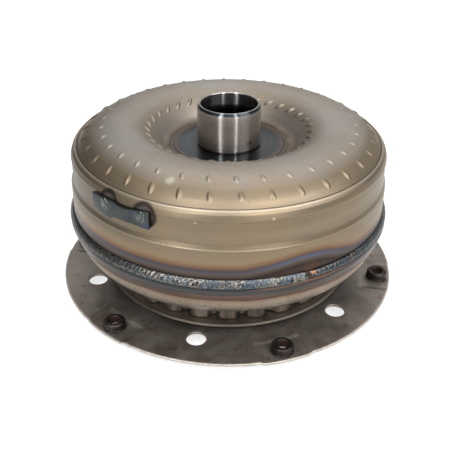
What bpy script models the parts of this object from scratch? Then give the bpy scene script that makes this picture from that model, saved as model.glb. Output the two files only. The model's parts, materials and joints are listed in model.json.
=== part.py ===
"""A lock-up torque converter, built piece by piece.

Frame: +Z runs along the converter's axis from the pilot (engine side) to the pump hub
(transmission side), with the origin at the centre of the pilot's flat end. Metres.
Outlines are written as (radius, height) pairs. Angles around the axis are in degrees,
measured from -Y (the front) towards +X.
"""
import math

import bmesh
import bpy
from mathutils import Matrix, Vector

# ---- driving dimensions ----------------------------------------------------
GAP = 0.0003  # left between pieces that touch or are welded on the real object
ROUND = 36  # sides of a turned piece
SMALL_ROUND = 24

PLATE_TOP = 0.0120
PLATE_THICK = 0.0022
PLATE_R = 0.1400
PLATE_BORE_R = 0.0600
PAD_DROP = 0.0012
PAD_COUNT = 6
PAD_ANGLE = 18.3
NUT_CIRCLE_R = 0.1288
NUT_R = 0.0083
NUT_BORE_R = 0.00425
NUT_TOP = 0.0172
HOLE_ANGLE = -11.7
HOLE_CIRCLE_R = 0.1135
HOLE_R = 0.0085

PILOT_R = 0.0210
FLOOR_BOTTOM = 0.0188
WALL = 0.0030
FLOOR_TOP = FLOOR_BOTTOM + WALL
RING_TOP = FLOOR_BOTTOM - GAP
RING_R = 0.1026

LOBES = 27
LOBE_PHASE = 0.2
LOBE_R = 0.0960
VALLEY_R = 0.0898
COVER_R = 0.1295
COVER_TOP = 0.0700

TORUS_R = 0.08694  # centre circle of the fluid torus
TORUS_Z = 0.1011
DOME_R = 0.0403  # outer radius of the shell's round section
CORE_R = 0.0150
CORE_THICK = 0.0014
PUMP_BLADES = 34
TURBINE_BLADES = 27
STATOR_VANES = 15

HUB_R = 0.0250
HUB_BORE_R = 0.0223
HUB_NECK_R = 0.0205
HUB_TOP = 0.1550
FLANGE_TOP = 0.1221
FLANGE_BOTTOM = 0.1172

SPLINE_TEETH = 12
TURBINE_SLEEVE_R = 0.0200
SPRINGS = 6
SPRING_CIRCLE_R = 0.1000
SPRING_LENGTH = 0.0340
SPRING_R = 0.0065
WIRE_R = 0.0013
DAMPER_Z = 0.0550
DAMPER_TWIST = 6.0  # degrees each way
RIVETS = 6
RIVET_CIRCLE_R = 0.0420
RIVET_R = 0.0028

PISTON_STROKE = 0.0018
CLUTCH_GAP = PISTON_STROKE / 6 + 0.00005
FRICTION_THICK = 0.0016
STEEL_THICK = 0.0014
PISTON_FACE = 0.0264  # top of the piston's pressing rim, released


# ---- helpers ---------------------------------------------------------------
def look(name, colour, metallic, roughness):
    """A Principled material."""
    made = bpy.data.materials.new(name)
    made.use_nodes = True
    shader = made.node_tree.nodes["Principled BSDF"]
    shader.inputs["Base Color"].default_value = (*colour, 1.0)
    shader.inputs["Metallic"].default_value = metallic
    shader.inputs["Roughness"].default_value = roughness
    made.diffuse_color = (*colour, 1.0)
    return made


def on_circle(radius, angle, z=0.0):
    """The point at this radius and angle (degrees from the front) and height."""
    a = math.radians(angle)
    return Vector((radius * math.sin(a), -radius * math.cos(a), z))


def body(name):
    """An empty on the converter's axis that carries the pieces that move together."""
    made = bpy.data.objects.new(name, None)
    bpy.context.scene.collection.objects.link(made)
    return made


def piece(name, mesh, parent, colour, metallic=0.9, roughness=0.4):
    """Put a mesh in the scene as one named sub-part with its own material."""
    mesh.materials.append(look(name, colour, metallic, roughness))
    mesh.shade_smooth()
    mesh.set_sharp_from_angle(angle=math.radians(35))
    made = bpy.data.objects.new(name, mesh)
    bpy.context.scene.collection.objects.link(made)
    made.parent = parent
    return made


def finish_mesh(bm, name):
    """Turn the faces outwards and write the mesh."""
    bmesh.ops.recalc_face_normals(bm, faces=bm.faces)
    mesh = bpy.data.meshes.new(name)
    bm.to_mesh(mesh)
    bm.free()
    return mesh


def loft(name, rings, closed=True):
    """Skin a list of rings of points. A ring may have half its neighbour's points.

    A closed loft joins its last ring to its first; an open one is capped at both ends.
    """
    bm = bmesh.new()
    made = [[bm.verts.new(p) for p in ring] for ring in rings]
    pairs = list(zip(made, made[1:]))
    if closed:
        pairs.append((made[-1], made[0]))
    for a, b in pairs:
        few, many = (a, b) if len(a) <= len(b) else (b, a)
        for i in range(len(few)):
            j = (i + 1) % len(few)
            if len(few) == len(many):
                bm.faces.new((few[i], few[j], many[j], many[i]))
                continue
            first, mid, last = (many[(2 * i + k) % len(many)] for k in range(3))
            bm.faces.new((few[i], mid, first))
            bm.faces.new((few[i], few[j], mid))
            bm.faces.new((few[j], last, mid))
    if not closed:
        bm.faces.new(made[0])
        bm.faces.new(made[-1])
    return finish_mesh(bm, name)


def circle(radius, z, count, phase=0.0):
    """A ring of points."""
    return [on_circle(radius, phase + 360 * i / count, z) for i in range(count)]


def turned(name, outline, count):
    """A ring-shaped piece: a closed outline spun about the axis."""
    return loft(name, [circle(r, z, count) for r, z in outline])


def toothed(tip_r, root_r, z, teeth, tip_half, root_half, phase=0.0):
    """A ring of points with `teeth` teeth; half widths are in degrees from the tooth's middle."""
    points = []
    for i in range(teeth):
        middle = phase + 360 * i / teeth
        corners = ((tip_r, -tip_half), (tip_r, tip_half), (root_r, root_half))
        points += [on_circle(r, middle + a, z) for r, a in corners]
        points.append(on_circle(root_r, middle + 360 / teeth - root_half, z))
    return points


def zigzag(tip_r, root_r, z, teeth, phase=0.0):
    """A ring of points that alternates between two radii: a coarse spline."""
    step = 180 / teeth
    radii = (tip_r, root_r)
    return [on_circle(radii[i % 2], phase + i * step, z) for i in range(2 * teeth)]


def washer(outer, inner):
    """Four rings, lower then upper, from functions of height for the outside and inside."""
    return lambda low, high: [outer(low), outer(high), inner(high), inner(low)]


def cut(target, cutter_bm, name):
    """Subtract a mesh from an object with a Boolean and keep the cutter as a guide."""
    mesh = finish_mesh(cutter_bm, name)
    cutter = bpy.data.objects.new(name, mesh)
    bpy.context.scene.collection.objects.link(cutter)
    cutter.hide_render = True
    cutter.display_type = "WIRE"
    change = target.modifiers.new(name, "BOOLEAN")
    change.operation = "DIFFERENCE"
    change.solver = "EXACT"
    change.object = cutter


def holes(radius, circle_r, count, first_angle, low, high, sides, bm=None):
    """Round drills on a circle, as one mesh."""
    bm = bm or bmesh.new()
    for i in range(count):
        centre = on_circle(circle_r, first_angle + 360 * i / count, (low + high) / 2)
        bmesh.ops.create_cone(
            bm, cap_ends=True, segments=sides, radius1=radius, radius2=radius,
            depth=high - low, matrix=Matrix.Translation(centre),
        )
    return bm


def windows(length, low_r, high_r, low, high):
    """Rectangular punches, one for each damper spring, as one mesh."""
    bm = bmesh.new()
    for i in range(SPRINGS):
        angle = 360 * i / SPRINGS
        centre = on_circle((low_r + high_r) / 2, angle, (low + high) / 2)
        turn = Matrix.Rotation(math.radians(angle), 4, "Z")
        size = Matrix.Diagonal((length, high_r - low_r, high - low, 1.0))
        bmesh.ops.create_cube(bm, size=1.0, matrix=Matrix.Translation(centre) @ turn @ size)
    return bm


def torus_point(radius, angle, limit=1.0):
    """(radius, height) on a circle about the torus centre, held inside a radius limit."""
    a = math.radians(angle)
    return min(TORUS_R + radius * math.cos(a), limit), TORUS_Z + radius * math.sin(a)


# ---- housing: everything that is welded together ---------------------------
def impeller_shell(parent):
    """Deep-drawn pump shell: recess floor, round dome, shoulder, wall, step and skirt."""
    outer = [
        (0.0465, FLANGE_TOP), (0.0505, FLANGE_TOP), (0.0555, 0.1263),
        torus_point(DOME_R, 127), torus_point(DOME_R, 108), torus_point(DOME_R, 87),
        torus_point(DOME_R, 68), (0.1120, 0.1337), (0.1190, 0.1270), (0.1200, 0.1272),
        (0.1232, 0.1247), (0.1243, 0.1205), (0.1242, 0.1009), (0.1262, 0.0984), (0.1262, 0.0660),
    ]
    inner_r = DOME_R - WALL
    inner = [
        (0.1232, 0.0660), (0.1232, 0.0980), (0.1212, 0.1005), (0.1212, 0.1200),
        (0.1160, 0.1265), torus_point(inner_r, 60), torus_point(inner_r, 88),
        torus_point(inner_r, 112), torus_point(inner_r, 134), (0.0540, 0.1194), (0.0451, 0.1191),
    ]
    mesh = turned("impeller_shell", outer + inner, ROUND)
    piece("impeller_shell", mesh, parent, (0.38, 0.32, 0.25), 0.9, 0.38)


def blade_wheel(name, count, angles, outer_r, limit, half, sweep):
    """Thin blades standing on a core ring, as one solid.

    Each blade has four columns of points: core, blade side, blade side, core. `half` is half
    the blade's thickness as an angle at the torus centre, and `sweep` leans the blades round.
    """
    edge = [torus_point(outer_r, a, limit) for a in angles]
    core = [torus_point(CORE_R, a) for a in angles]
    back = [torus_point(CORE_R - 2 * CORE_THICK, a) for a in (angles[-1], angles[0])]
    columns = []
    for i in range(count):
        middle = 360 * i / count
        for path, offset in ((core, -2 * half), (edge, -half), (edge, half), (core, 2 * half)):
            points = path + back
            span = len(angles) - 1
            along = [k / span for k in range(span + 1)] + [1.0, 0.0]
            columns.append([
                on_circle(r, middle + offset + sweep * (t - 0.5), z) for (r, z), t in zip(points, along)
            ])
    return loft(name, columns)


def impeller_blades(parent):
    """Pump blades and their core ring."""
    angles = (8, 53, 98, 143)
    mesh = blade_wheel("impeller_blades", PUMP_BLADES, angles, 0.0354, 0.1195, 0.35, -5.0)
    piece("impeller_blades", mesh, parent, (0.45, 0.44, 0.42), 0.9, 0.45)


def pump_hub(parent):
    """Machined neck that drives the pump, with the flange that the shell is welded to."""
    outline = [
        (HUB_R, FLANGE_TOP + 0.0010), (HUB_R, HUB_TOP - 0.0015), (HUB_R - 0.0012, HUB_TOP),
        (HUB_BORE_R, HUB_TOP), (HUB_BORE_R, 0.1440), (HUB_NECK_R, 0.1435),
        (HUB_NECK_R, FLANGE_BOTTOM), (0.0446, FLANGE_BOTTOM),
        (0.0432, FLANGE_TOP), (HUB_R + 0.0010, FLANGE_TOP),
    ]
    mesh = turned("pump_hub", outline, ROUND)
    piece("pump_hub", mesh, parent, (0.50, 0.49, 0.48), 1.0, 0.25)


def hub_weld(parent):
    """Weld that fills the V between the hub's flange and the shell's inner edge."""
    outline = [(0.0444, 0.1198), (0.0450, 0.1198), (0.0461, 0.1223), (0.0437, 0.1223)]
    piece("hub_weld", turned("hub_weld", outline, ROUND), parent, (0.20, 0.20, 0.22), 0.8, 0.5)


def closure_weld(parent):
    """The bead that closes the converter, on the cover's edge against the shell's skirt."""
    outline = [(0.1266, 0.0703), (0.1302, 0.0703), (0.1298, 0.0742), (0.1266, 0.0762)]
    mesh = turned("closure_weld", outline, ROUND)
    piece("closure_weld", mesh, parent, (0.13, 0.15, 0.16), 0.8, 0.45)


def lobed(lobe_r, valley_r, z, lobe_half, valley_half):
    """One section of the scalloped drum."""
    return toothed(lobe_r, valley_r, z, LOBES, lobe_half, valley_half, LOBE_PHASE)


def front_cover(parent):
    """Deep-drawn cover: flat floor, scalloped clutch drum, annular floor, flared wall."""
    plain = 2 * LOBES

    def ring(radius, z):
        return circle(radius, z, plain, LOBE_PHASE - 2.4)

    rings = [
        ring(0.0400, FLOOR_BOTTOM),
        lobed(LOBE_R - 0.0022, VALLEY_R - 0.0022, FLOOR_BOTTOM, 3.2, 5.0),
        lobed(LOBE_R, VALLEY_R, 0.0210, 3.2, 5.0), lobed(LOBE_R, VALLEY_R, 0.0368, 3.2, 5.0),
        ring(0.0995, 0.0386), ring(0.1130, 0.0396), ring(0.1200, 0.0441), ring(0.1252, 0.0540),
        ring(0.1291, 0.0650), ring(COVER_R, COVER_TOP), ring(0.1268, COVER_TOP),
        ring(0.1268, 0.0655), ring(0.1222, 0.0550), ring(0.1172, 0.0460), ring(0.1110, 0.0425),
        ring(0.0980, 0.0414),
        lobed(LOBE_R - 0.0027, VALLEY_R - 0.0028, 0.0408, 1.9, 3.5),
        lobed(LOBE_R - 0.0027, VALLEY_R - 0.0028, FLOOR_TOP, 1.9, 3.5),
        ring(0.0400, FLOOR_TOP),
    ]
    mesh = loft("front_cover", rings, closed=False)
    piece("front_cover", mesh, parent, (0.22, 0.19, 0.16), 0.9, 0.4)


def pilot(parent):
    """Pilot that centres the converter in the crankshaft; the part stands on its flat end."""
    outline = [
        (0.0130, 0.0), (0.0195, 0.0), (PILOT_R, 0.0015), (PILOT_R, 0.0140), (0.0330, 0.0150),
        (0.0330, RING_TOP), (0.0130, RING_TOP),
    ]
    piece("pilot", turned("pilot", outline, SMALL_ROUND), parent, (0.35, 0.35, 0.35), 1.0, 0.3)


def drive_ring(parent):
    """Turned ring under the drum that carries the flexplate on its spigot."""
    outline = [
        (0.0560, 0.0082), (PLATE_BORE_R - GAP - 0.0002, 0.0082),
        (PLATE_BORE_R - GAP - 0.0002, PLATE_TOP + GAP), (0.0900, PLATE_TOP + GAP),
        (0.0920, 0.0156), (RING_R, 0.0156), (RING_R, 0.0178), (0.0985, RING_TOP), (0.0560, RING_TOP),
    ]
    piece("drive_ring", turned("drive_ring", outline, ROUND), parent, (0.20, 0.19, 0.17), 0.9, 0.4)


def flexplate(parent):
    """Sheet-steel drive plate: six pads pressed down at the rim, six bolt and six access holes."""
    offsets = (-10.0, -7.0, 0.0, 7.0, 10.0, 23.0, 37.0)
    angles = [PAD_ANGLE + 60 * k + a for k in range(PAD_COUNT) for a in offsets]
    rows = ((PLATE_BORE_R, 0.0), (0.1175, 0.0), (0.1200, 1.0), (PLATE_R, 1.0))

    def height(angle, share):
        away = abs((angle - PAD_ANGLE + 30) % 60 - 30)
        return -PAD_DROP * share if away < 8 else 0.0

    def ring(row, level):
        radius, share = row
        return [on_circle(radius, a, level + height(a, share)) for a in angles]

    top = [ring(row, PLATE_TOP) for row in rows]
    under = [ring(row, PLATE_TOP - PLATE_THICK) for row in reversed(rows)]
    made = piece("flexplate", loft("flexplate", top + under), parent, (0.09, 0.08, 0.075), 0.85, 0.45)
    drills = holes(HOLE_R, HOLE_CIRCLE_R, PAD_COUNT, HOLE_ANGLE, 0.0050, 0.0150, 12)
    holes(0.0053, NUT_CIRCLE_R, PAD_COUNT, PAD_ANGLE, 0.0050, 0.0150, 8, drills)
    cut(made, drills, "flexplate_drills")


def plate_weld(parent):
    """Fillet weld between the flexplate's underside and the drive ring's spigot."""
    low = PLATE_TOP - PLATE_THICK - GAP
    inner = PLATE_BORE_R
    outline = [(inner, low), (inner + 0.0024, low), (inner, low - 0.0013)]
    piece("plate_weld", turned("plate_weld", outline, ROUND), parent, (0.2, 0.2, 0.2), 0.8, 0.5)


def weld_nuts(parent):
    """Six round nuts welded on the pads, one for each engine-side bolt."""
    low = PLATE_TOP - PAD_DROP + GAP
    outline = [
        (NUT_BORE_R, low), (NUT_R, low), (NUT_R, NUT_TOP - 0.0008), (NUT_R - 0.0008, NUT_TOP),
        (NUT_BORE_R + 0.0010, NUT_TOP), (NUT_BORE_R, NUT_TOP - 0.0010),
    ]
    for i in range(PAD_COUNT):
        name = f"weld_nut_{i + 1}"
        made = piece(name, turned(name, outline, 12), parent, (0.06, 0.055, 0.05), 0.9, 0.4)
        made.location = on_circle(NUT_CIRCLE_R, PAD_ANGLE + 60 * i)


STRAP_R = 0.1248  # inner face of the balance strap
STRAP_THICK = 0.0026
STRAP_FIRST, STRAP_LAST = -48.8, -24.8
STRAP_MIDDLE_Z = 0.1146
STRAP_WELD_Z = 0.1168
STRAP_PADS = (-42.2, -27.6)


def balance_strap(parent):
    """Curved balance weight: a bar with a deeper pad at each weld and a narrower bridge."""
    stations = (  # angle, then the lower and upper edge from the bar's middle
        (STRAP_FIRST, -0.0055, 0.0060), (-46.0, -0.0062, 0.0060), (-42.0, -0.0079, 0.0060),
        (-40.0, -0.0076, 0.0060), (-38.2, -0.0057, 0.0060), (-33.0, -0.0055, 0.0060),
        (-28.5, -0.0060, 0.0067), (STRAP_LAST, -0.0060, 0.0069),
    )
    outside = STRAP_R + STRAP_THICK
    sections = []
    for angle, under, over in stations:
        low, high = STRAP_MIDDLE_Z + under, STRAP_MIDDLE_Z + over
        corners = ((STRAP_R, low), (outside, low), (outside, high), (STRAP_R, high))
        sections.append([on_circle(r, angle, z) for r, z in corners])
    mesh = loft("balance_strap", sections, closed=False)
    piece("balance_strap", mesh, parent, (0.12, 0.13, 0.14), 0.85, 0.4)


def strap_welds(parent):
    """The nuggets of the two plug welds that hold the strap."""
    for i, angle in enumerate(STRAP_PADS):
        name = f"strap_weld_{i + 1}"
        bm = bmesh.new()
        bmesh.ops.create_cone(
            bm, cap_ends=True, segments=10, radius1=0.0042, radius2=0.0030, depth=0.0012,
        )
        made = piece(name, finish_mesh(bm, name), parent, (0.2, 0.22, 0.23), 0.8, 0.4)
        made.location = on_circle(STRAP_R + STRAP_THICK + GAP + 0.0008, angle, STRAP_WELD_Z)
        made.rotation_euler = (math.radians(90), 0.0, math.radians(angle))


def cover_hub(parent):
    """Turned guide on the cover's floor: the piston slides on it, a thrust bearing sits on top."""
    low = FLOOR_TOP + GAP
    outline = [
        (0.0150, low), (0.0340, low), (0.0340, 0.0297), (0.0300, 0.0303), (0.0300, 0.0386),
        (0.0150, 0.0386),
    ]
    piece("cover_hub", turned("cover_hub", outline, SMALL_ROUND), parent, (0.4, 0.4, 0.4), 1.0, 0.3)


def piston_cylinder(parent):
    """Smooth ring in the foot of the drum that the piston's outer seal runs in."""
    low = FLOOR_TOP + GAP
    outline = [(0.0832, low), (0.0866, low), (0.0866, 0.0262), (0.0832, 0.0262)]
    mesh = turned("piston_cylinder", outline, SMALL_ROUND)
    piece("piston_cylinder", mesh, parent, (0.4, 0.4, 0.4), 1.0, 0.3)


def lugged_plate(name, low, high):
    """A plate with nine lugs that engage every third lobe of the drum."""
    def outer(z):
        points = []
        for i in range(LOBES // 3):
            middle = LOBE_PHASE + 40 * i
            corners = (
                (0.0858, -2.9), (0.0924, -1.3), (0.0924, 1.3), (0.0858, 2.9), (0.0858, 13.5),
                (0.0858, 26.5),
            )
            points += [on_circle(r, middle + a, z) for r, a in corners]
        return points

    def inner(z):
        return circle(0.0680, z, LOBES, LOBE_PHASE - 2.9)

    return loft(name, washer(outer, inner)(low, high))


def clutch_levels():
    """Heights of the plates, released, from the piston up: name to (low, high)."""
    levels, z = {}, PISTON_FACE + CLUTCH_GAP
    stack = (
        ("friction_plate_1", FRICTION_THICK), ("steel_plate_1", STEEL_THICK),
        ("friction_plate_2", FRICTION_THICK), ("steel_plate_2", STEEL_THICK),
        ("friction_plate_3", FRICTION_THICK), ("backing_plate", 0.0026), ("clutch_snap_ring", 0.0014),
    )
    for name, thick in stack:
        levels[name] = (z, z + thick)
        z += thick + CLUTCH_GAP
    return levels


def backing_plate(parent):
    """Thick end plate that the clutch pack is pressed against."""
    mesh = lugged_plate("backing_plate", *clutch_levels()["backing_plate"])
    piece("backing_plate", mesh, parent, (0.35, 0.34, 0.33), 0.95, 0.35)


def clutch_snap_ring(parent):
    """Open spring ring that holds the backing plate down."""
    low, high = clutch_levels()["clutch_snap_ring"]
    sections = []
    for i in range(25):
        angle = 8 + 344 * i / 24
        corners = ((0.0832, low), (0.0862, low), (0.0862, high), (0.0832, high))
        sections.append([on_circle(r, angle, z) for r, z in corners])
    mesh = loft("clutch_snap_ring", sections, closed=False)
    piece("clutch_snap_ring", mesh, parent, (0.25, 0.25, 0.26), 0.95, 0.3)


def thrust_bearing(name, parent, inner_r, outer_r, low, high):
    """Needle thrust bearing: races, cage and needles as one ring."""
    outline = [(inner_r, low), (outer_r, low), (outer_r, high), (inner_r, high)]
    piece(name, turned(name, outline, SMALL_ROUND), parent, (0.5, 0.5, 0.5), 1.0, 0.25)


# ---- turbine and damper ----------------------------------------------------
def turbine_shell(parent):
    """Stamped turbine bowl with a flat inner flange."""
    bends = (-6, -31, -59, -87, -115, -144.5)
    outer = [torus_point(0.0360, a, 0.1200) for a in bends]
    inner = [torus_point(0.0342, a, 0.1182) for a in reversed(bends)]
    inner[0] = (inner[0][0], 0.0819)
    outline = outer + [(0.0240, 0.0802), (0.0240, 0.0819)] + inner
    mesh = turned("turbine_shell", outline, ROUND)
    made = piece("turbine_shell", mesh, parent, (0.42, 0.40, 0.36), 0.9, 0.4)
    cut(made, rivet_drills(), "turbine_shell_drills")


def turbine_blades(parent):
    """Turbine blades and their core ring."""
    angles = (-10, -54, -98, -143)
    mesh = blade_wheel("turbine_blades", TURBINE_BLADES, angles, 0.0324, 0.1165, 0.35, 7.0)
    piece("turbine_blades", mesh, parent, (0.45, 0.44, 0.42), 0.9, 0.45)


def rivet_drills():
    """Six drills through the hub flange and what is riveted to it."""
    return holes(RIVET_R + 0.0008, RIVET_CIRCLE_R, RIVETS, 30.0, 0.0740, 0.0900, 6)


def turbine_hub(parent):
    """Turned hub: long sleeve with a splined bore, and the flange the turbine is riveted to."""
    count = 2 * SPLINE_TEETH
    rings = [
        circle(TURBINE_SLEEVE_R, 0.0429, count), circle(TURBINE_SLEEVE_R, 0.0822, count),
        circle(0.0470, 0.0822, count), circle(0.0470, 0.0872, count),
        zigzag(0.0148, 0.0137, 0.0872, SPLINE_TEETH), zigzag(0.0148, 0.0137, 0.0429, SPLINE_TEETH),
    ]
    made = piece("turbine_hub", loft("turbine_hub", rings), parent, (0.42, 0.42, 0.42), 1.0, 0.3)
    cut(made, rivet_drills(), "turbine_hub_drills")


def hub_rivets(parent):
    """Six rivets through the hub flange, the turbine shell and the damper's upper cover."""
    head = RIVET_R + 0.0010
    outline = [
        (head, 0.0762), (head, 0.0777), (RIVET_R, 0.0777), (RIVET_R, 0.0875),
        (head, 0.0875), (head - 0.0010, 0.0888),
    ]
    for i in range(RIVETS):
        name = f"hub_rivet_{i + 1}"
        mesh = loft(name, [circle(r, z, 6) for r, z in outline], closed=False)
        made = piece(name, mesh, parent, (0.4, 0.4, 0.4), 0.95, 0.35)
        made.location = on_circle(RIVET_CIRCLE_R, 30 + 60 * i)


def damper_upper_cover(parent):
    """Dished plate riveted to the turbine hub, with a window for each spring."""
    outline = [
        (0.0240, 0.0780), (0.0500, 0.0780), (0.0850, 0.0575), (0.1160, 0.0575),
        (0.1160, 0.0593), (0.0855, 0.0593), (0.0505, 0.0799), (0.0240, 0.0799),
    ]
    mesh = turned("damper_upper_cover", outline, SMALL_ROUND)
    made = piece("damper_upper_cover", mesh, parent, (0.3, 0.3, 0.3), 0.9, 0.4)
    cut(made, windows(SPRING_LENGTH + 0.0010, 0.0925, 0.1075, 0.0550, 0.0620), "upper_windows")
    cut(made, rivet_drills(), "upper_drills")


def damper_lower_cover(parent):
    """Ring under the springs, with a rim that is welded to the upper cover."""
    outline = [
        (0.0870, 0.0505), (0.1160, 0.0505), (0.1160, 0.0572), (0.1136, 0.0572),
        (0.1136, 0.0523), (0.0870, 0.0523),
    ]
    mesh = turned("damper_lower_cover", outline, SMALL_ROUND)
    made = piece("damper_lower_cover", mesh, parent, (0.3, 0.3, 0.3), 0.9, 0.4)
    cut(made, windows(SPRING_LENGTH + 0.0010, 0.0925, 0.1075, 0.0480, 0.0540), "lower_windows")


def damper_springs(parent):
    """Six straight coil springs, each in its window."""
    turns, steps = 3.5, 6
    count = int(turns * steps)
    for i in range(SPRINGS):
        name = f"damper_spring_{i + 1}"
        sections = []
        mean = SPRING_R - WIRE_R
        run = SPRING_LENGTH - 2 * WIRE_R
        for k in range(count + 1):
            t = 2 * math.pi * k / steps
            out = Vector((0.0, math.cos(t), math.sin(t)))
            centre = out * mean + Vector((run * (k / count - 0.5), 0.0, 0.0))
            along = Vector((WIRE_R, 0.0, 0.0))
            rim = out * WIRE_R
            sections.append([centre + rim, centre + along, centre - rim, centre - along])
        mesh = loft(name, sections, closed=False)
        made = piece(name, mesh, parent, (0.25, 0.26, 0.28), 0.95, 0.3)
        made.location = on_circle(SPRING_CIRCLE_R, 60 * i, DAMPER_Z)
        made.rotation_euler = (0.0, 0.0, math.radians(60 * i))


def drive_plate(parent):
    """Dished plate between the damper covers: a finger between each two springs, with the
    twist's clearance to them on both sides."""
    outline = [
        (0.0300, 0.0473), (0.0660, 0.0473), (0.0800, 0.0537), (0.1100, 0.0537),
        (0.1100, 0.0563), (0.0790, 0.0563), (0.0650, 0.0499), (0.0300, 0.0499),
    ]
    mesh = turned("drive_plate", outline, SMALL_ROUND)
    made = piece("drive_plate", mesh, parent, (0.35, 0.35, 0.36), 0.9, 0.35)
    slack = 2 * SPRING_CIRCLE_R * math.tan(math.radians(DAMPER_TWIST)) + 0.0030
    cut(made, windows(SPRING_LENGTH + slack, 0.0915, 0.1200, 0.0500, 0.0600), "drive_slots")


def clutch_hub(parent):
    """Inner carrier of the clutch: splined drum with a web that runs on the turbine hub."""
    def rim(z):
        return zigzag(0.0660, 0.0635, z, SPLINE_TEETH)

    def plain(radius, z):
        return circle(radius, z, 2 * SPLINE_TEETH)

    rings = [
        plain(0.0605, 0.0270), rim(0.0270), rim(0.0470), plain(0.0210, 0.0470),
        plain(0.0210, 0.0446), plain(0.0605, 0.0446),
    ]
    mesh = loft("clutch_hub", rings)
    piece("clutch_hub", mesh, parent, (0.38, 0.37, 0.36), 0.95, 0.35)


# ---- clutch pack -----------------------------------------------------------
def friction_plate(name, parent):
    """Lined plate with inner teeth on the clutch hub."""
    low, high = clutch_levels()[name]

    def outer(z):
        return circle(0.0852, z, 2 * SPLINE_TEETH)

    def inner(z):
        return zigzag(0.0667, 0.0642, z, SPLINE_TEETH)

    piece(name, loft(name, washer(outer, inner)(low, high)), parent, (0.22, 0.14, 0.08), 0.2, 0.7)


def steel_plate(name, parent):
    """Plain plate with lugs in the drum."""
    mesh = lugged_plate(name, *clutch_levels()[name])
    piece(name, mesh, parent, (0.4, 0.4, 0.4), 0.95, 0.35)


def piston(parent):
    """Lock-up piston: slides on the cover hub, with a seal groove inside and outside."""
    low = FLOOR_TOP + 0.0006
    outline = [
        (0.0345, low), (0.0826, low), (0.0826, 0.0229), (0.0802, 0.0229), (0.0802, 0.0249),
        (0.0826, 0.0249), (0.0826, PISTON_FACE), (0.0690, PISTON_FACE), (0.0680, 0.0248),
        (0.0400, 0.0248), (0.0390, 0.0280), (0.0345, 0.0280), (0.0345, 0.0265),
        (0.0369, 0.0265), (0.0369, 0.0245), (0.0345, 0.0245),
    ]
    piece("piston", turned("piston", outline, SMALL_ROUND), parent, (0.45, 0.45, 0.46), 0.95, 0.3)


def piston_seals(parent):
    """Square seal rings in the piston's two grooves."""
    rings = (
        ("piston_outer_seal", 0.0805, 0.0829, 0.0232), ("piston_inner_seal", 0.0343, 0.0366, 0.0248),
    )
    thick = 0.0014
    for name, inner, outer, low in rings:
        outline = [(inner, low), (outer, low), (outer, low + thick), (inner, low + thick)]
        piece(name, turned(name, outline, SMALL_ROUND), parent, (0.02, 0.02, 0.02), 0.0, 0.6)


# ---- stator and its one-way clutch -----------------------------------------
def stator_wheel(parent):
    """Cast wheel: hub ring and shroud ring joined by slanted vanes, as one solid."""
    hub_in, hub_out, shroud_in, shroud_out = 0.0405, 0.0500, 0.0700, 0.0722
    hub_low, hub_high, low, high = 0.0930, 0.1110, 0.0940, 0.1082
    slant, thick = 5.0, 2.6
    bm = bmesh.new()
    columns = []
    for i in range(STATOR_VANES):
        for side in (-thick, thick):
            angle = 360 * i / STATOR_VANES + side
            columns.append({
                "hub": [bm.verts.new(on_circle(r, angle + s, z)) for r, z, s in (
                    (hub_in, hub_low, 0), (hub_in, hub_high, 0), (hub_out, hub_high, 0),
                    (hub_out, high, slant), (hub_out, low, -slant), (hub_out, hub_low, 0))],
                "shroud": [bm.verts.new(on_circle(r, angle + s, z)) for r, z, s in (
                    (shroud_in, low, -slant), (shroud_in, high, slant),
                    (shroud_out, high, slant), (shroud_out, low, -slant))],
            })
    for i, here in enumerate(columns):
        there = columns[(i + 1) % len(columns)]
        vane = i % 2 == 0
        a, b, c, d = here["hub"], there["hub"], here["shroud"], there["shroud"]
        skip = 3 if vane else None
        for k in range(6):
            if k != skip:
                j = (k + 1) % 6
                bm.faces.new((a[k], a[j], b[j], b[k]))
        for k in range(4):
            if not (vane and k == 0):
                j = (k + 1) % 4
                bm.faces.new((c[k], c[j], d[j], d[k]))
        if vane:
            bm.faces.new((a[3], c[1], d[1], b[3]))
            bm.faces.new((a[4], b[4], d[0], c[0]))
        bm.faces.new((a[3], a[4], c[0], c[1]))
    mesh = finish_mesh(bm, "stator_wheel")
    piece("stator_wheel", mesh, parent, (0.55, 0.55, 0.56), 0.9, 0.45)


def outer_race(parent):
    """Outer race of the one-way clutch, pressed into the stator."""
    outline = [(0.0340, 0.0940), (0.0395, 0.0940), (0.0395, 0.1100), (0.0340, 0.1100)]
    mesh = turned("outer_race", outline, 2 * STATOR_VANES)
    piece("outer_race", mesh, parent, (0.45, 0.45, 0.45), 1.0, 0.25)


def roller_cage(parent):
    """Cage and rollers between the races, drawn as one scalloped ring."""
    def outer(z):
        return zigzag(0.0334, 0.0325, z, 14)

    def inner(z):
        return zigzag(0.0308, 0.0302, z, 14)

    mesh = loft("roller_cage", washer(outer, inner)(0.0960, 0.1080))
    piece("roller_cage", mesh, parent, (0.4, 0.38, 0.3), 0.9, 0.35)


def side_plates(parent):
    """Plates above and below the one-way clutch that centre the stator."""
    for name, low in (("stator_upper_plate", 0.1103), ("stator_lower_plate", 0.0924)):
        outline = [(0.0305, low), (0.0395, low), (0.0395, low + 0.0013), (0.0305, low + 0.0013)]
        piece(name, turned(name, outline, SMALL_ROUND), parent, (0.5, 0.45, 0.35), 0.9, 0.35)


def inner_race(parent):
    """Inner race, splined to the fixed stator shaft of the transmission."""
    count = 2 * SPLINE_TEETH
    rings = [
        circle(0.0294, 0.0928, count), circle(0.0294, 0.1112, count),
        zigzag(0.0202, 0.0190, 0.1112, SPLINE_TEETH), zigzag(0.0202, 0.0190, 0.0928, SPLINE_TEETH),
    ]
    piece("inner_race", loft("inner_race", rings), parent, (0.45, 0.45, 0.45), 1.0, 0.25)


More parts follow.
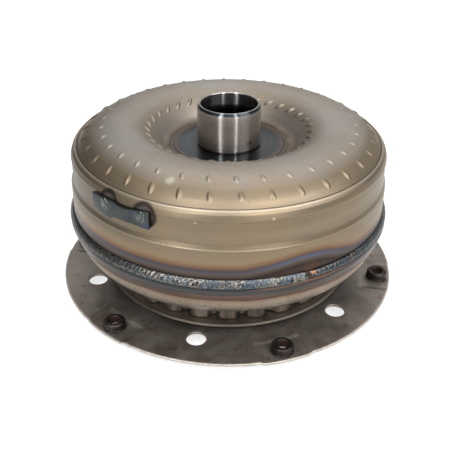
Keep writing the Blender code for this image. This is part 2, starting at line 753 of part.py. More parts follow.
# ---- assembly --------------------------------------------------------------
def build():
    """Empty the scene and make every piece under the body that it moves with."""
    for old in list(bpy.data.objects):
        bpy.data.objects.remove(old, do_unlink=True)

    housing = body("housing_body")
    impeller_shell(housing)
    impeller_blades(housing)
    pump_hub(housing)
    hub_weld(housing)
    closure_weld(housing)
    front_cover(housing)
    pilot(housing)
    drive_ring(housing)
    flexplate(housing)
    plate_weld(housing)
    weld_nuts(housing)
    balance_strap(housing)
    strap_welds(housing)
    cover_hub(housing)
    piston_cylinder(housing)
    backing_plate(housing)
    clutch_snap_ring(housing)
    thrust_bearing("pump_thrust_bearing", housing, 0.0262, 0.0395, 0.1121, 0.1169)
    thrust_bearing("cover_thrust_bearing", housing, 0.0160, 0.0290, 0.0389, 0.0426)

    turbine = body("turbine_body")
    turbine_shell(turbine)
    turbine_blades(turbine)
    turbine_hub(turbine)
    hub_rivets(turbine)
    damper_upper_cover(turbine)
    damper_lower_cover(turbine)
    damper_springs(turbine)
    thrust_bearing("turbine_thrust_bearing", turbine, 0.0240, 0.0375, 0.0875, 0.0921)

    damper_input = body("damper_input_body")
    drive_plate(damper_input)
    clutch_hub(damper_input)

    for i in range(3):
        friction_plate(f"friction_plate_{i + 1}", body(f"friction_{i + 1}_body"))
    for i in range(2):
        steel_plate(f"steel_plate_{i + 1}", body(f"steel_{i + 1}_body"))

    pressed = body("piston_body")
    piston(pressed)
    piston_seals(pressed)

    stator = body("stator_body")
    stator_wheel(stator)
    outer_race(stator)
    roller_cage(stator)
    side_plates(stator)

    inner_race(body("inner_race_body"))


build()
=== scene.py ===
import json
import math

import bmesh
import bpy
import numpy as np
from mathutils import Matrix, Vector


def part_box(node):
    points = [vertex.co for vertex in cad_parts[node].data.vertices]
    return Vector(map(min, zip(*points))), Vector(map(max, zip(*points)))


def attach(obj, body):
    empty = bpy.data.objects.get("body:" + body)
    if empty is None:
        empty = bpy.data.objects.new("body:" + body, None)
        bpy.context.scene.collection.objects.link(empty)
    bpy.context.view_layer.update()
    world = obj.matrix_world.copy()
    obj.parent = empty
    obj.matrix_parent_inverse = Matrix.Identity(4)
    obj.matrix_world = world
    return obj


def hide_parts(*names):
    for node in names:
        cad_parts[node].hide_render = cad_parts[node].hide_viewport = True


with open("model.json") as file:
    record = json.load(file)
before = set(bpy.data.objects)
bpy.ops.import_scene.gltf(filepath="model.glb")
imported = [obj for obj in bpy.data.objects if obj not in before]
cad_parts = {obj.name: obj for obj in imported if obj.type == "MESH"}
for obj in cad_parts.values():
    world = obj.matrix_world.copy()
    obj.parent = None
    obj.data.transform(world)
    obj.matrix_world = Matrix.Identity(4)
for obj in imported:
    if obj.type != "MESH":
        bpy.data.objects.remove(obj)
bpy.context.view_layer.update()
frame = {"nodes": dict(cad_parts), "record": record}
MM = 0.001

# ---------------------------------------------------------------------------
# Camera, lights and floor. The converter stands on a white light table of opal acrylic,
# with a tall softbox on each side of the camera, a wide one overhead and a fill at the right.
# ---------------------------------------------------------------------------
PLATE_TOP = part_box("flexplate")[1][2]


def linear(code):
    """An sRGB hex colour as linear RGBA: c/12.92 when dark, else ((c + 0.055)/1.055)^2.4."""
    c = np.array([int(code[i:i + 2], 16) for i in (1, 3, 5)]) / 255
    c = np.where(c <= 0.04045, c / 12.92, ((c + 0.055) / 1.055) ** 2.4)
    return (*[float(x) for x in c], 1.0)


def add(tree, kind, *values, out=0, stops=(), **settings):
    """Add one node, set its properties, and give the output named by `out`, or its first live one.

    Its live inputs are linked or filled in order; None leaves one as it is, and a hex colour is
    turned to linear. `stops` are a colour ramp's (position, hex) pairs.
    """
    made = tree.nodes.new("ShaderNode" + kind)
    for key, value in settings.items():
        setattr(made, key, value)
    for socket, value in zip([s for s in made.inputs if s.enabled], values):
        if isinstance(value, bpy.types.NodeSocket):
            tree.links.new(value, socket)
        elif value is not None:
            socket.default_value = linear(value) if isinstance(value, str) else value
    for _ in stops[2:]:
        made.color_ramp.elements.new(0.5)
    for k, (at, colour) in enumerate(stops):
        made.color_ramp.elements[k].position = at
        made.color_ramp.elements[k].color = linear(colour)
    return made.outputs[out] if out else next(s for s in made.outputs if s.enabled)


camera = bpy.data.objects.new("camera", bpy.data.cameras.new("camera"))
bpy.context.scene.collection.objects.link(camera)
camera.data.lens = 56.95
camera.data.sensor_width = 36.0
camera.location = (-0.0024, -0.5235, PLATE_TOP + 0.3437)
camera.rotation_mode = "QUATERNION"
camera.rotation_quaternion = (
    Matrix.Rotation(math.radians(90 - 30.74), 3, "X") @ Matrix.Rotation(math.radians(0.54), 3, "Z")
).to_quaternion()
bpy.context.scene.camera = camera
bpy.context.scene.view_settings.view_transform = "Standard"

# The room is dimmer low down, to both sides and at the zenith; the camera itself sees plain white.
world = bpy.data.worlds.new("studio")
bpy.context.scene.world = world
world.use_nodes = True
tree = world.node_tree
x, y, z = add(tree, "SeparateXYZ", add(tree, "TexCoord", out="Generated")).node.outputs
upward = add(tree, "MapRange", z, 0.0, 0.6, 0.26, 1.25)
aside = add(tree, "Math", add(tree, "Math", x, 0.22, operation="SUBTRACT"), operation="ABSOLUTE")
aside = add(tree, "MapRange", aside, 0.25, 0.95, 1.0, 0.25)
behind = add(tree, "MapRange", y, 0.1, 0.9, 0.95, 1.12)
zenith = add(tree, "MapRange", z, 0.65, 1.0, 1.0, 0.80)
around = add(
    tree, "Math", add(tree, "Math", aside, behind, operation="MULTIPLY"), zenith, operation="MULTIPLY")
strength = add(tree, "Math", upward, around, operation="MULTIPLY")
strength = add(tree, "Mix", add(tree, "LightPath"), strength, 1.0, data_type="FLOAT")
tree.links.new(strength, tree.nodes["Background"].inputs["Strength"])
tree.nodes["Background"].inputs["Color"].default_value = linear("#fdfdfd")


def softbox(name, azimuth, elevation, distance, width, height, power):
    """An area light aimed at the converter's middle; azimuth is from the camera's side, -Y, to +X."""
    light = bpy.data.lights.new(name, "AREA")
    light.shape = "RECTANGLE"
    light.size, light.size_y = width, height
    light.energy = power
    lamp = bpy.data.objects.new(name, light)
    bpy.context.scene.collection.objects.link(lamp)
    a, e = math.radians(azimuth), math.radians(elevation)
    away = Vector((math.sin(a) * math.cos(e), -math.cos(a) * math.cos(e), math.sin(e)))
    lamp.location = Vector((0, 0, 0.08)) + away * distance
    lamp.rotation_mode = "QUATERNION"
    lamp.rotation_quaternion = away.to_track_quat("Z", "Y")


softbox("left_strip", -31, 34, 1.3, 0.17, 1.2, 12)
softbox("right_strip", 26, 34, 1.3, 0.12, 1.2, 9)
softbox("overhead", -20, 84, 1.5, 1.8, 1.8, 12)
softbox("right_fill", 62, 40, 1.6, 0.9, 0.9, 11)


def skin(name, points, wrap_u=True, wrap_v=True, caps=False):
    """A mesh over a grid of points [u, v, xyz], turned so that its volume is positive.

    wrap_u and wrap_v join the last row or column to the first; caps closes the two ends of
    v with one face each.
    """
    points = np.asarray(points, float)
    nu, nv = points.shape[:2]
    u = np.arange(nu if wrap_u else nu - 1)
    v = np.arange(nv if wrap_v else nv - 1)
    u, v = (a.ravel() for a in np.meshgrid(u, v, indexing="ij"))
    u1, v1 = (u + 1) % nu, (v + 1) % nv
    quads = np.stack([u * nv + v, u1 * nv + v, u1 * nv + v1, u * nv + v1], axis=1)
    flat = points.reshape(-1, 3)
    faces = quads.tolist()
    a, b, c, d = (flat[quads[:, i]] for i in range(4))
    volume = np.einsum("ij,ij->", a, np.cross(b, c)) + np.einsum("ij,ij->", a, np.cross(c, d))
    if volume < 0:
        faces = [f[::-1] for f in faces]
    if caps:
        first = (np.arange(nu) * nv).tolist()
        last = (np.arange(nu) * nv + nv - 1).tolist()
        faces += [first, last[::-1]] if volume > 0 else [first[::-1], last]
    mesh = bpy.data.meshes.new(name)
    mesh.from_pydata(flat, [], faces)
    mesh.validate()
    mesh.update()
    made = bpy.data.objects.new(name, mesh)
    bpy.context.scene.collection.objects.link(made)
    return made


def dress(obj, material, body, replaces=(), sharp=32):
    """Smooth the shading up to a crease angle, give the material, and enter the piece in the frame."""
    obj.data.shade_smooth()
    obj.data.set_sharp_from_angle(angle=math.radians(sharp))
    obj.data.materials.clear()
    obj.data.materials.append(material)
    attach(obj, body)
    if replaces:
        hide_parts(*replaces)


floor = skin("floor", [[(-4, -4, 0), (-4, 4, 0)], [(4, -4, 0), (4, 4, 0)]], False, False)
table_top = bpy.data.materials.new("light_table_opal_acrylic")
table_top.use_nodes = True
paint = table_top.node_tree.nodes["Principled BSDF"]
paint.inputs["Base Color"].default_value = linear("#b4b4b4")
paint.inputs["Emission Color"].default_value = linear("#ffffff")
paint.inputs["Emission Strength"].default_value = 0.70
paint.inputs["Roughness"].default_value = 0.9
paint.inputs["Specular IOR Level"].default_value = 0.1
floor.data.materials.append(table_top)

# ---------------------------------------------------------------------------
# Impeller shell. Deep-drawn low-carbon steel, 3 mm thick, left as pressed and
# oven-dried, so that it carries a thin straw oxide. The blade tabs are pushed
# into it from inside and raise three rows of small bumps.
# ---------------------------------------------------------------------------
def rounded(corners, step=4.0):
    """A polyline of (r, z, radius) corners in millimetres with each corner turned into an arc.

    The arc touches both sides at radius * tan(half the turn) from the corner, and its points
    lie on the circle about the centre found along the corner's bisector.
    """
    corners = np.asarray(corners, float)
    path = [corners[0, :2]]
    for before, here, after in zip(corners[:-2], corners[1:-1], corners[2:]):
        p, radius = here[:2], here[2]
        a, b = before[:2] - p, after[:2] - p
        a, b = a / np.linalg.norm(a), b / np.linalg.norm(b)
        half = math.acos(float(np.clip(a @ b, -1, 1))) / 2
        turn = math.pi - 2 * half
        if radius <= 0 or turn < 0.01:
            path.append(p)
            continue
        reach = radius * math.tan(turn / 2)
        centre = p + (a + b) / np.linalg.norm(a + b) * radius / math.sin(half)
        start = p + a * reach - centre
        count = max(2, int(math.degrees(turn) / step))
        way = math.copysign(
            turn, start[0] * (p + b * reach - centre)[1] - start[1] * (p + b * reach - centre)[0])
        t = np.linspace(0, way, count + 1)
        path += list(centre + np.stack(
            [start[0] * np.cos(t) - start[1] * np.sin(t), start[0] * np.sin(t) + start[1] * np.cos(t)],
            axis=1))
    path.append(corners[-1, :2])
    return np.array(path)


def smooth_path(keys, count):
    """A Catmull-Rom curve through (r, z) keys, at `count` evenly spread steps of its parameter."""
    k = np.asarray(keys, float)
    k = np.vstack([2 * k[0] - k[1], k, 2 * k[-1] - k[-2]])
    t = np.linspace(0, len(k) - 3 - 1e-9, count)
    i = t.astype(int)
    s = (t - i)[:, None]
    a, b, c, d = k[i], k[i + 1], k[i + 2], k[i + 3]
    return 0.5 * (2 * b + (c - a) * s + (2 * a - 5 * b + 4 * c - d) * s**2 + (3 * b - a - 3 * c + d) * s**3)


def spread(path, longest):
    """The path with points added so that no step is longer than `longest`."""
    out = [path[:1]]
    for a, b in zip(path[:-1], path[1:]):
        count = max(1, int(np.ceil(np.linalg.norm(b - a) / longest)))
        out.append(a + (b - a) * np.linspace(0, 1, count + 1)[1:, None])
    return np.vstack(out)


def round_axis(r, a, z):
    """Radius, angle from the front and height as points: x = r sin(a), y = -r cos(a), in metres."""
    r, a, z = np.broadcast_arrays(r, a, z)
    return MM * np.stack([r * np.sin(a), -r * np.cos(a), z], axis=-1)


def turn(path, count):
    """Spin a path of (r, z) millimetres round the axis in `count` equal steps."""
    return round_axis(path[:, 0], np.linspace(0, 2 * np.pi, count, endpoint=False)[:, None], path[:, 1])


DOME = smooth_path([
    (47.0, 122.1), (50.0, 122.3), (53.0, 123.9), (57.0, 128.0), (62.6, 133.2), (68.5, 137.2), (76.0, 140.1),
    (84.0, 141.3), (91.0, 141.25), (98.0, 139.85), (104.5, 137.5), (110.0, 134.6), (114.6, 131.4),
    (117.6, 128.6), (119.1, 127.2)], 96)
WALL_PATH = rounded([
    (119.1, 127.2, 0), (119.6, 126.7, 0.3), (120.7, 127.2, 0.7), (123.2, 124.6, 2.6), (124.45, 120.9, 3.0),
    (124.4, 119.4, 0.8), (124.05, 118.9, 0.8), (124.3, 102.4, 4.0), (126.0, 98.4, 0.9), (126.2, 67.2, 0)])
SHELL_OUTSIDE = np.vstack([[(45.3, 122.1)], DOME[:-1], spread(WALL_PATH, 3.0)])
SHELL_INSIDE = rounded([
    (123.2, 67.2, 0), (123.2, 97.5, 2), (121.2, 100.5, 2), (121.2, 119.6, 9), (112.5, 129.6, 20),
    (98.0, 136.9, 20), (82.0, 138.5, 30), (64.0, 130.8, 20), (52.0, 118.6, 4), (45.3, 118.6, 0)], 10)


PUMP_BLADES = 34
TAB_ROWS = (
    # radius, angle of the first, half length, half width, height, skew in degrees
    (113.0, 4.2, 5.4, 2.5, 0.9, 8.0),
    (100.0, 2.8, 4.0, 2.2, 0.85, 14.0),
    (64.0, 0.0, 5.2, 2.0, 1.3, -42.0),
)


def tab_bumps(radius, first, half_length, half_width, height, skew):
    """One row of bumps laid on the dome: height * (1 - s^2)^1.5 over an oval, s being 1 on its edge.

    A bump's length runs along the dome's own section, turned by the skew, and its height along
    the section's normal; a flat underside is sunk under the surface.
    """
    run = np.concatenate([[0], np.cumsum(np.linalg.norm(np.diff(DOME, axis=0), axis=1))])
    start = np.interp(radius, DOME[:, 0], run)
    t = np.linspace(0, 2 * np.pi, 24, endpoint=False)[:, None]
    s = np.array([0, 0.15, 0.3, 0.45, 0.6, 0.72, 0.83, 0.92, 1.0, 0.9, 0.0])[None, :]
    along, across = half_length * s * np.cos(t), half_width * s * np.sin(t)
    raised = height * (1 - s**2) ** 1.5 - 0.05 + 0 * t
    raised[:, 9:] = -0.6
    k = math.radians(skew)
    along, across = along * math.cos(k) - across * math.sin(k), along * math.sin(k) + across * math.cos(k)
    at = start + along
    slope = np.stack([np.interp(at + d, run, DOME[:, i]) for i in (0, 1) for d in (-0.8, 0.8)])
    dr, dz = slope[1] - slope[0], slope[3] - slope[2]
    size = np.hypot(dr, dz)
    r = np.interp(at, run, DOME[:, 0]) - raised * dz / size
    z = np.interp(at, run, DOME[:, 1]) + raised * dr / size
    rows = []
    for blade in range(PUMP_BLADES):
        a = math.radians(first + 360 * blade / PUMP_BLADES) + across / radius
        rows.append(round_axis(r, a, z))
    return rows


def joined(name, grids):
    """Several closed grids as one object, with the doubled points at their poles merged."""
    parts = [skin(name, g, True, False) for g in grids]
    bm = bmesh.new()
    for part in parts:
        bm.from_mesh(part.data)
        old = part.data
        bpy.data.objects.remove(part)
        bpy.data.meshes.remove(old)
    bmesh.ops.remove_doubles(bm, verts=bm.verts, dist=1e-7)
    bmesh.ops.recalc_face_normals(bm, faces=bm.faces)
    mesh = bpy.data.meshes.new(name)
    bm.to_mesh(mesh)
    bm.free()
    made = bpy.data.objects.new(name, mesh)
    bpy.context.scene.collection.objects.link(made)
    return made


def new_material(name):
    """An empty Principled material: the material, its tree and its shader."""
    made = bpy.data.materials.new(name)
    made.use_nodes = True
    return made, made.node_tree, made.node_tree.nodes["Principled BSDF"]


def place(tree):
    """What turned pieces are patterned by: the point, its x, y, z, its radius and unit direction."""
    where = add(tree, "TexCoord", out="Object")
    xyz = add(tree, "SeparateXYZ", where).node.outputs
    flat = add(tree, "CombineXYZ", xyz[0], xyz[1])
    radius = add(tree, "VectorMath", flat, operation="LENGTH")
    heading = add(tree, "VectorMath", flat, operation="NORMALIZE")
    return where, xyz, radius, heading


def turned_marks(tree, heading, radius, height, spacing, along=2.0):
    """Noise drawn out round the axis: grooves `spacing` millimetres apart in radius and height."""
    both = add(tree, "Math", radius, add(tree, "Math", height, 0.83, operation="MULTIPLY"), operation="ADD")
    scaled = add(tree, "VectorMath", heading, along, operation="SCALE")
    lift = add(
        tree, "CombineXYZ", None, None, add(tree, "Math", both, 1000 / spacing, operation="MULTIPLY"))
    spot = add(tree, "VectorMath", scaled, lift, operation="ADD")
    return add(tree, "TexNoise", spot, 1.0, 3.0)


def near(tree, where, spot, inner, outer):
    """1 within `inner` metres of a point, falling to 0 at `outer`."""
    away = add(tree, "VectorMath", where, spot, operation="DISTANCE")
    return add(tree, "MapRange", away, inner, outer, 1.0, 0.0)


def band(tree, value, start, full, fading, end):
    """0 up to `start`, rising to 1 at `full`, 1 up to `fading`, and back to 0 at `end`."""
    return add(
        tree, "Math", add(tree, "MapRange", value, start, full),
        add(tree, "MapRange", value, fading, end, 1.0, 0.0), operation="MULTIPLY")


def tinted(tree, base, colour, where_it_is, strength):
    """The base colour with another laid over it, as far as where_it_is * strength goes towards 1."""
    share = add(tree, "Math", where_it_is, strength, operation="MULTIPLY")
    return add(tree, "Mix", share, base, colour, data_type="RGBA")


def finish_surface(tree, shader, colour, metallic, rough, relief, strength, depth):
    """Give the shader its colour, metallic share and roughness, and a bump `depth` metres deep."""
    for name, value in (("Base Color", colour), ("Metallic", metallic), ("Roughness", rough)):
        if isinstance(value, bpy.types.NodeSocket):
            tree.links.new(value, shader.inputs[name])
        else:
            shader.inputs[name].default_value = value
    tree.links.new(add(tree, "Bump", strength, depth, None, relief), shader.inputs["Normal"])


def at_angle(radius, angle, z):
    """A point in metres, from a radius, an angle from the front in degrees, and a height."""
    a = math.radians(angle)
    return (radius * math.sin(a), -radius * math.cos(a), z)


WELD_TOP = 0.0757
STRAP_MIDDLE_Z = 0.1146
STRAP_WELD_Z = 0.1168
STRAP_PADS = (-42.2, -27.6)


def heat_distance(tree, where, xyz, heading):
    """Height above the bead in metres, warped: lifted where the bead overlaps itself, lowered beyond that,
    where the bead starts thin, and wavy. Across the +X side the height is raised by up to 4.2 mm, so the
    heat tint there is narrower and the wall lighter: partly the thinner bead, partly painted light on that
    side."""
    seam = near(tree, where, at_angle(0.126, 26, 0.084), 0.008, 0.046)
    wave = add(tree, "TexNoise", heading, 1000 / 700.0, 2.0)
    lift = add(
        tree, "Math", add(tree, "Math", seam, 0.0060, operation="MULTIPLY"),
        add(tree, "Math", wave, 0.0024, operation="MULTIPLY"), operation="ADD")
    above = add(
        tree, "Math", add(tree, "Math", xyz[2], WELD_TOP, operation="SUBTRACT"), lift,
        operation="SUBTRACT")
    # Painted light, in part: across the +X side the height is raised, which narrows the dark heat tint and
    # leaves the wall lighter there.
    return add(
        tree, "Math", above, add(tree, "MapRange", xyz[0], 0.068, 0.098, 0.0, 0.0042), operation="ADD")


# Oxide-tinted pressed steel: thin film colours over satin metal, drawing marks round the axis.
shell_steel, tree, shader = new_material("deep_drawn_steel_straw_oxide")
where, xyz, radius, heading = place(tree)
fine = turned_marks(tree, heading, radius, xyz[2], 0.9)
broad = turned_marks(tree, heading, radius, xyz[2], 6.0, 0.8)
cloud = add(tree, "TexNoise", where, 1000 / 38.0, 4.0)
tan = add(tree, "Mix", add(tree, "MapRange", cloud, 0.35, 0.68), "#706557", "#796b56", data_type="RGBA")
tan = add(
    tree, "Mix", add(tree, "MapRange", broad, 0.42, 0.75, 0.0, 0.55), tan, "#887b68", data_type="RGBA")
crest = add(tree, "MapRange", xyz[2], 0.1345, 0.1405)
washed = add(
    tree, "Mix", add(tree, "MapRange", add(tree, "TexNoise", where, 1000 / 52.0, 4.0), 0.38, 0.62),
    "#938a80", "#9b9792", data_type="RGBA")
tan = tinted(tree, tan, washed, crest, 0.78)
recess = add(tree, "MapRange", radius, 0.0520, 0.0720, 1.0, 0.0)
tan = tinted(tree, tan, "#8a847e", recess, 0.8)
patchy = add(tree, "MapRange", add(tree, "TexNoise", where, 1000 / 18.0, 3.0), 0.35, 0.60, 0.4, 1.0)
scorch = add(
    tree, "Math", add(tree, "MapRange", radius, 0.0475, 0.0545, 1.0, 0.0), patchy, operation="MULTIPLY")
tan = add(tree, "Mix", scorch, tan, "#4f3829", data_type="RGBA")
# Painted shade: everything below 122.5 mm, the side wall and the floor of the recess, is darkened a little
# towards a deeper brown.
tan = add(
    tree, "Mix", add(tree, "MapRange", xyz[2], 0.1225, 0.1250, 0.20, 0.0), tan, "#5a4f3f",
    data_type="RGBA")
# A browner, darker tone on the side towards -X, stronger on the wall than on the dome: partly oxide, partly
# painted shade on that side.
uneven = add(tree, "MapRange", add(tree, "TexNoise", where, 1000 / 30.0, 4.0), 0.25, 0.70, 0.80, 1.0)
oxide_and_painted_shade = add(
    tree, "Math", add(tree, "MapRange", xyz[0], -0.122, -0.040, 0.70, 0.0), uneven, operation="MULTIPLY")
oxide_and_painted_shade = add(
    tree, "Math", oxide_and_painted_shade, add(tree, "MapRange", xyz[2], 0.1215, 0.1270, 1.0, 0.30), operation="MULTIPLY")
tan = add(tree, "Mix", oxide_and_painted_shade, tan, "#382f27", data_type="RGBA")
# Painted shade: a dark line along the crease between the dome and the wall.
crease = band(tree, radius, 0.1191, 0.1194, 0.1197, 0.1200)
tan = tinted(tree, tan, "#2c2620", crease, add(tree, "MapRange", xyz[2], 0.1240, 0.1250, 0.0, 0.70))
# Painted highlight: a pale line along the rounded lip under the crease.
lip = band(tree, radius, 0.1201, 0.1205, 0.1212, 0.1222)
tan = tinted(tree, tan, "#a69c8c", lip, add(tree, "MapRange", xyz[2], 0.1240, 0.1250, 0.0, 0.60))
lap_burn = near(tree, where, at_angle(0.1265, 27.2, 0.0768), 0.0020, 0.0075)
# Painted highlight: a pale line along the step in the wall.
step_painted_highlight = band(tree, xyz[2], 0.0980, 0.0985, 0.0990, 0.0995)
tan = tinted(tree, tan, "#b5a98f", step_painted_highlight, 0.35)
speckle = add(tree, "MapRange", add(tree, "TexNoise", where, 1000 / 2.0, 3.0), 0.64, 0.72, 0.0, 0.45)
tan = add(tree, "Mix", speckle, tan, "#574d40", data_type="RGBA")
rubbed = near(tree, where, at_angle(0.1055, -22.0, 0.1371), 0.0016, 0.0042)
rubbed = add(
    tree, "Math", rubbed,
    add(tree, "MapRange", add(tree, "TexNoise", where, 1000 / 2.4, 3.0), 0.36, 0.52, 0.35, 0.75),
    operation="MULTIPLY")
tan = add(tree, "Mix", rubbed, tan, "#b0a99c", data_type="RGBA")
heat = heat_distance(tree, where, xyz, heading)
burnt = add(tree, "ValToRGB", add(tree, "MapRange", heat, -0.004, 0.022), stops=[
    (0.0, "#3b302a"), (0.12, "#2e2622"), (0.17, "#3f3630"), (0.26, "#4e4540"), (0.33, "#443c39"),
    (0.375, "#3b383b"), (0.42, "#57433a"), (0.50, "#6d5743"), (0.64, "#7c6b54"), (1.0, "#7d6f5b")])
lap_glow = near(tree, where, at_angle(0.126, 24, 0.086), 0.012, 0.040)
blue_line = band(tree, heat, 0.0022, 0.0044, 0.0048, 0.0070)
blueing = add(tree, "Math", add(tree, "Math", lap_glow, 0.50, operation="MULTIPLY"), 0.18, operation="ADD")
burnt = tinted(tree, burnt, "#505a6c", blue_line, blueing)
tan = add(tree, "Mix", add(tree, "MapRange", heat, 0.010, 0.021, 1.0, 0.0), tan, burnt, data_type="RGBA")
for angle, height in ((-10.2, 0.1184), (13.8, 0.1211)):
    scuff = near(tree, where, at_angle(0.1244, angle, height), 0.0003, 0.0014)
    tan = tinted(tree, tan, "#b8b1a4", scuff, 0.55)
tan = tinted(tree, tan, "#4d3427", lap_burn, 0.5)
for pad in STRAP_PADS:
    spot = at_angle(0.1242, pad + 0.5, STRAP_WELD_Z + 0.0006)
    halo = near(tree, where, spot, 0.0086, 0.0104)
    tan = tinted(tree, tan, "#2a2322", halo, 0.92)
    core = near(tree, where, spot, 0.0052, 0.0074)
    tan = tinted(tree, tan, "#5a5450", core, 0.85)
rough = add(
    tree, "Math", add(tree, "MapRange", fine, 0.3, 0.7, 0.38, 0.48),
    add(tree, "MapRange", cloud, 0.3, 0.7, -0.03, 0.04), operation="ADD")
relief = add(tree, "Math", fine, add(tree, "Math", broad, 1.5, operation="MULTIPLY"), operation="ADD")
finish_surface(tree, shader, tan, 0.92, rough, relief, 0.10, 0.0004)

shell = skin("impeller_shell_outer", turn(np.vstack([SHELL_OUTSIDE, SHELL_INSIDE]), 540))
dress(shell, shell_steel, "housing", ["impeller_shell"])
bumps = joined("blade_tab_bumps", [g for row in TAB_ROWS for g in tab_bumps(*row)])
dress(bumps, shell_steel, "housing", sharp=60)

# ---------------------------------------------------------------------------
# Pump hub and its seam. A turned steel neck with a stepped bore stands on a
# lathe-faced disc; the disc's edge is blued and browned where it is welded
# into the shell's recess.
# ---------------------------------------------------------------------------
def face_rings(path, start, end, pitch, depth):
    """Fine lathe rings on a face: z lowered by depth * |sin(pi r / pitch)| between two radii."""
    r = path[:, 0]
    inside = (r > start) & (r < end)
    path = path.copy()
    path[:, 1] -= np.where(inside, depth * abs(np.sin(np.pi * r / pitch)), 0)
    return path


HUB_PATH = rounded([
    (22.3, 143.6, 0), (22.3, 154.5, 0.2), (22.8, 155.0, 0.2), (23.6, 155.0, 0.3), (25.0, 152.9, 0.5),
    (25.0, 123.6, 0.15), (24.4, 123.2, 0.1), (24.4, 121.8, 0.2), (26.2, 121.8, 0.2), (26.5, 122.1, 0.1),
    (43.5, 122.1, 0)], 12)
disc = face_rings(spread(np.array([(26.5, 122.1), (43.5, 122.1)]), 0.25), 27.0, 42.8, 1.0, 0.05)
HUB_PATH = np.vstack([
    spread(HUB_PATH[:-1], 3.0), disc[1:], rounded([
        (43.5, 122.1, 0), (44.6, 120.8, 0.4), (44.6, 117.2, 0.3), (20.5, 117.2, 0.5), (20.5, 142.9, 0.3),
        (21.2, 143.4, 0.2), (22.3, 143.6, 0)], 12)[1:-1]])

# Fine-turned bright steel: its lathe marks stretch highlights along the neck; the disc is blued; the bore
# has painted shade.
turned_hub, tree, shader = new_material("fine_turned_hub_steel")
where, xyz, radius, heading = place(tree)
lathe = turned_marks(tree, heading, radius, xyz[2], 0.45, 1.2)
bands = turned_marks(tree, heading, radius, xyz[2], 3.2, 0.5)
on_disc = add(tree, "MapRange", xyz[2], 0.1224, 0.1230, 1.0, 0.0)
tone = add(tree, "Mix", add(tree, "MapRange", lathe, 0.3, 0.7), "#9c9996", "#aeaba7", data_type="RGBA")
tone = add(
    tree, "Mix", on_disc, tone,
    add(tree, "Mix", add(tree, "MapRange", bands, 0.35, 0.65), "#24282a", "#3a3f43", data_type="RGBA"),
    data_type="RGBA")
tone = tinted(tree, tone, "#62493a", on_disc, add(tree, "MapRange", radius, 0.0395, 0.0440, 0.0, 0.8))
foot = add(
    tree, "Math", on_disc, add(tree, "MapRange", radius, 0.0262, 0.0285, 1.0, 0.0), operation="MULTIPLY")
tone = add(tree, "Mix", foot, tone, "#33302e", data_type="RGBA")
# Painted shade: near black in the lower bore, fading out a little above its step, and darker up the rest of
# the bore to its mouth.
bore = add(
    tree, "Math", add(tree, "MapRange", radius, 0.0228, 0.0232, 1.0, 0.0),
    add(tree, "MapRange", xyz[2], 0.1436, 0.1462, 1.0, 0.0), operation="MULTIPLY")
inside = add(
    tree, "Math", add(tree, "MapRange", radius, 0.0234, 0.0238, 1.0, 0.0),
    add(tree, "MapRange", xyz[2], 0.1541, 0.1546, 0.55, 0.0), operation="MULTIPLY")
tone = add(tree, "Mix", inside, tone, "#454442", data_type="RGBA")
tone = add(tree, "Mix", bore, tone, "#0b0a0a", data_type="RGBA")
chamfer = add(
    tree, "Math", add(tree, "MapRange", radius, 0.0234, 0.0238),
    add(tree, "MapRange", xyz[2], 0.1526, 0.1531), operation="MULTIPLY")
tone = add(tree, "Mix", chamfer, tone, "#3a4145", data_type="RGBA")
rust = add(
    tree, "Math", near(tree, where, at_angle(0.025, 39, 0.1285), 0.0012, 0.0042),
    add(tree, "MapRange", add(tree, "TexNoise", where, 1000 / 2.2, 3.0), 0.42, 0.58),
    operation="MULTIPLY")
tone = add(tree, "Mix", rust, tone, "#7b4a2a", data_type="RGBA")
rough = add(tree, "MapRange", bands, 0.3, 0.7, 0.245, 0.252)
rough = add(
    tree, "Math", rough, add(tree, "Math", on_disc, 0.06, operation="MULTIPLY"), operation="SUBTRACT")
relief = add(tree, "Math", lathe, on_disc, operation="MULTIPLY")
shader.inputs["Anisotropic"].default_value = 1.0
shader.inputs["Anisotropic Rotation"].default_value = 0.25
around_axis = add(tree, "Tangent", direction_type="RADIAL", axis="Z")
tree.links.new(around_axis, shader.inputs["Tangent"])
finish_surface(tree, shader, tone, 1.0, rough, relief, 0.05, 0.0001)

hub = skin("pump_hub_turned", turn(HUB_PATH, 288))
dress(hub, turned_hub, "housing", ["pump_hub"])

# Seam material: rippled weld metal, silver where clean, blued and rusted in patches, and darkened with
# painted shade towards -X.
weld_metal, tree, shader = new_material("arc_weld_bead")
where, xyz, radius = place(tree)[:3]
patch = add(tree, "TexNoise", where, 1000 / 7.0, 4.0)
fleck = add(tree, "TexNoise", where, 1000 / 1.7, 3.0, 0.65)
bead = add(tree, "Mix", add(tree, "MapRange", fleck, 0.38, 0.60), "#15171a", "#76736d", data_type="RGBA")
bead = add(
    tree, "Mix", add(tree, "MapRange", patch, 0.46, 0.60, 0.0, 0.7), bead, "#3a4751", data_type="RGBA")
bead = add(
    tree, "Mix",
    add(tree, "MapRange", add(tree, "TexNoise", where, 1000 / 3.0, 3.0), 0.64, 0.70, 0.0, 0.8), bead,
    "#6b4a2e", data_type="RGBA")
scale_gap = near(tree, where, at_angle(0.1290, 26.4, 0.0732), 0.0018, 0.0042)
bead = tinted(tree, bead, "#3a2a22", scale_gap, 0.9)
ember = near(tree, where, at_angle(0.1285, 27.9, 0.0745), 0.0008, 0.0022)
bead = tinted(tree, bead, "#94683a", ember, 0.8)
around_hub = add(tree, "MapRange", radius, 0.0500, 0.0520, 0.85, 0.0)
bead = add(tree, "Mix", around_hub, bead, "#4f463e", data_type="RGBA")
after_lap = add(tree, "Math", add(tree, "MapRange", xyz[0], 0.058, 0.066), 0.45, operation="MULTIPLY")
bead = add(tree, "Mix", after_lap, bead, "#26303a", data_type="RGBA")
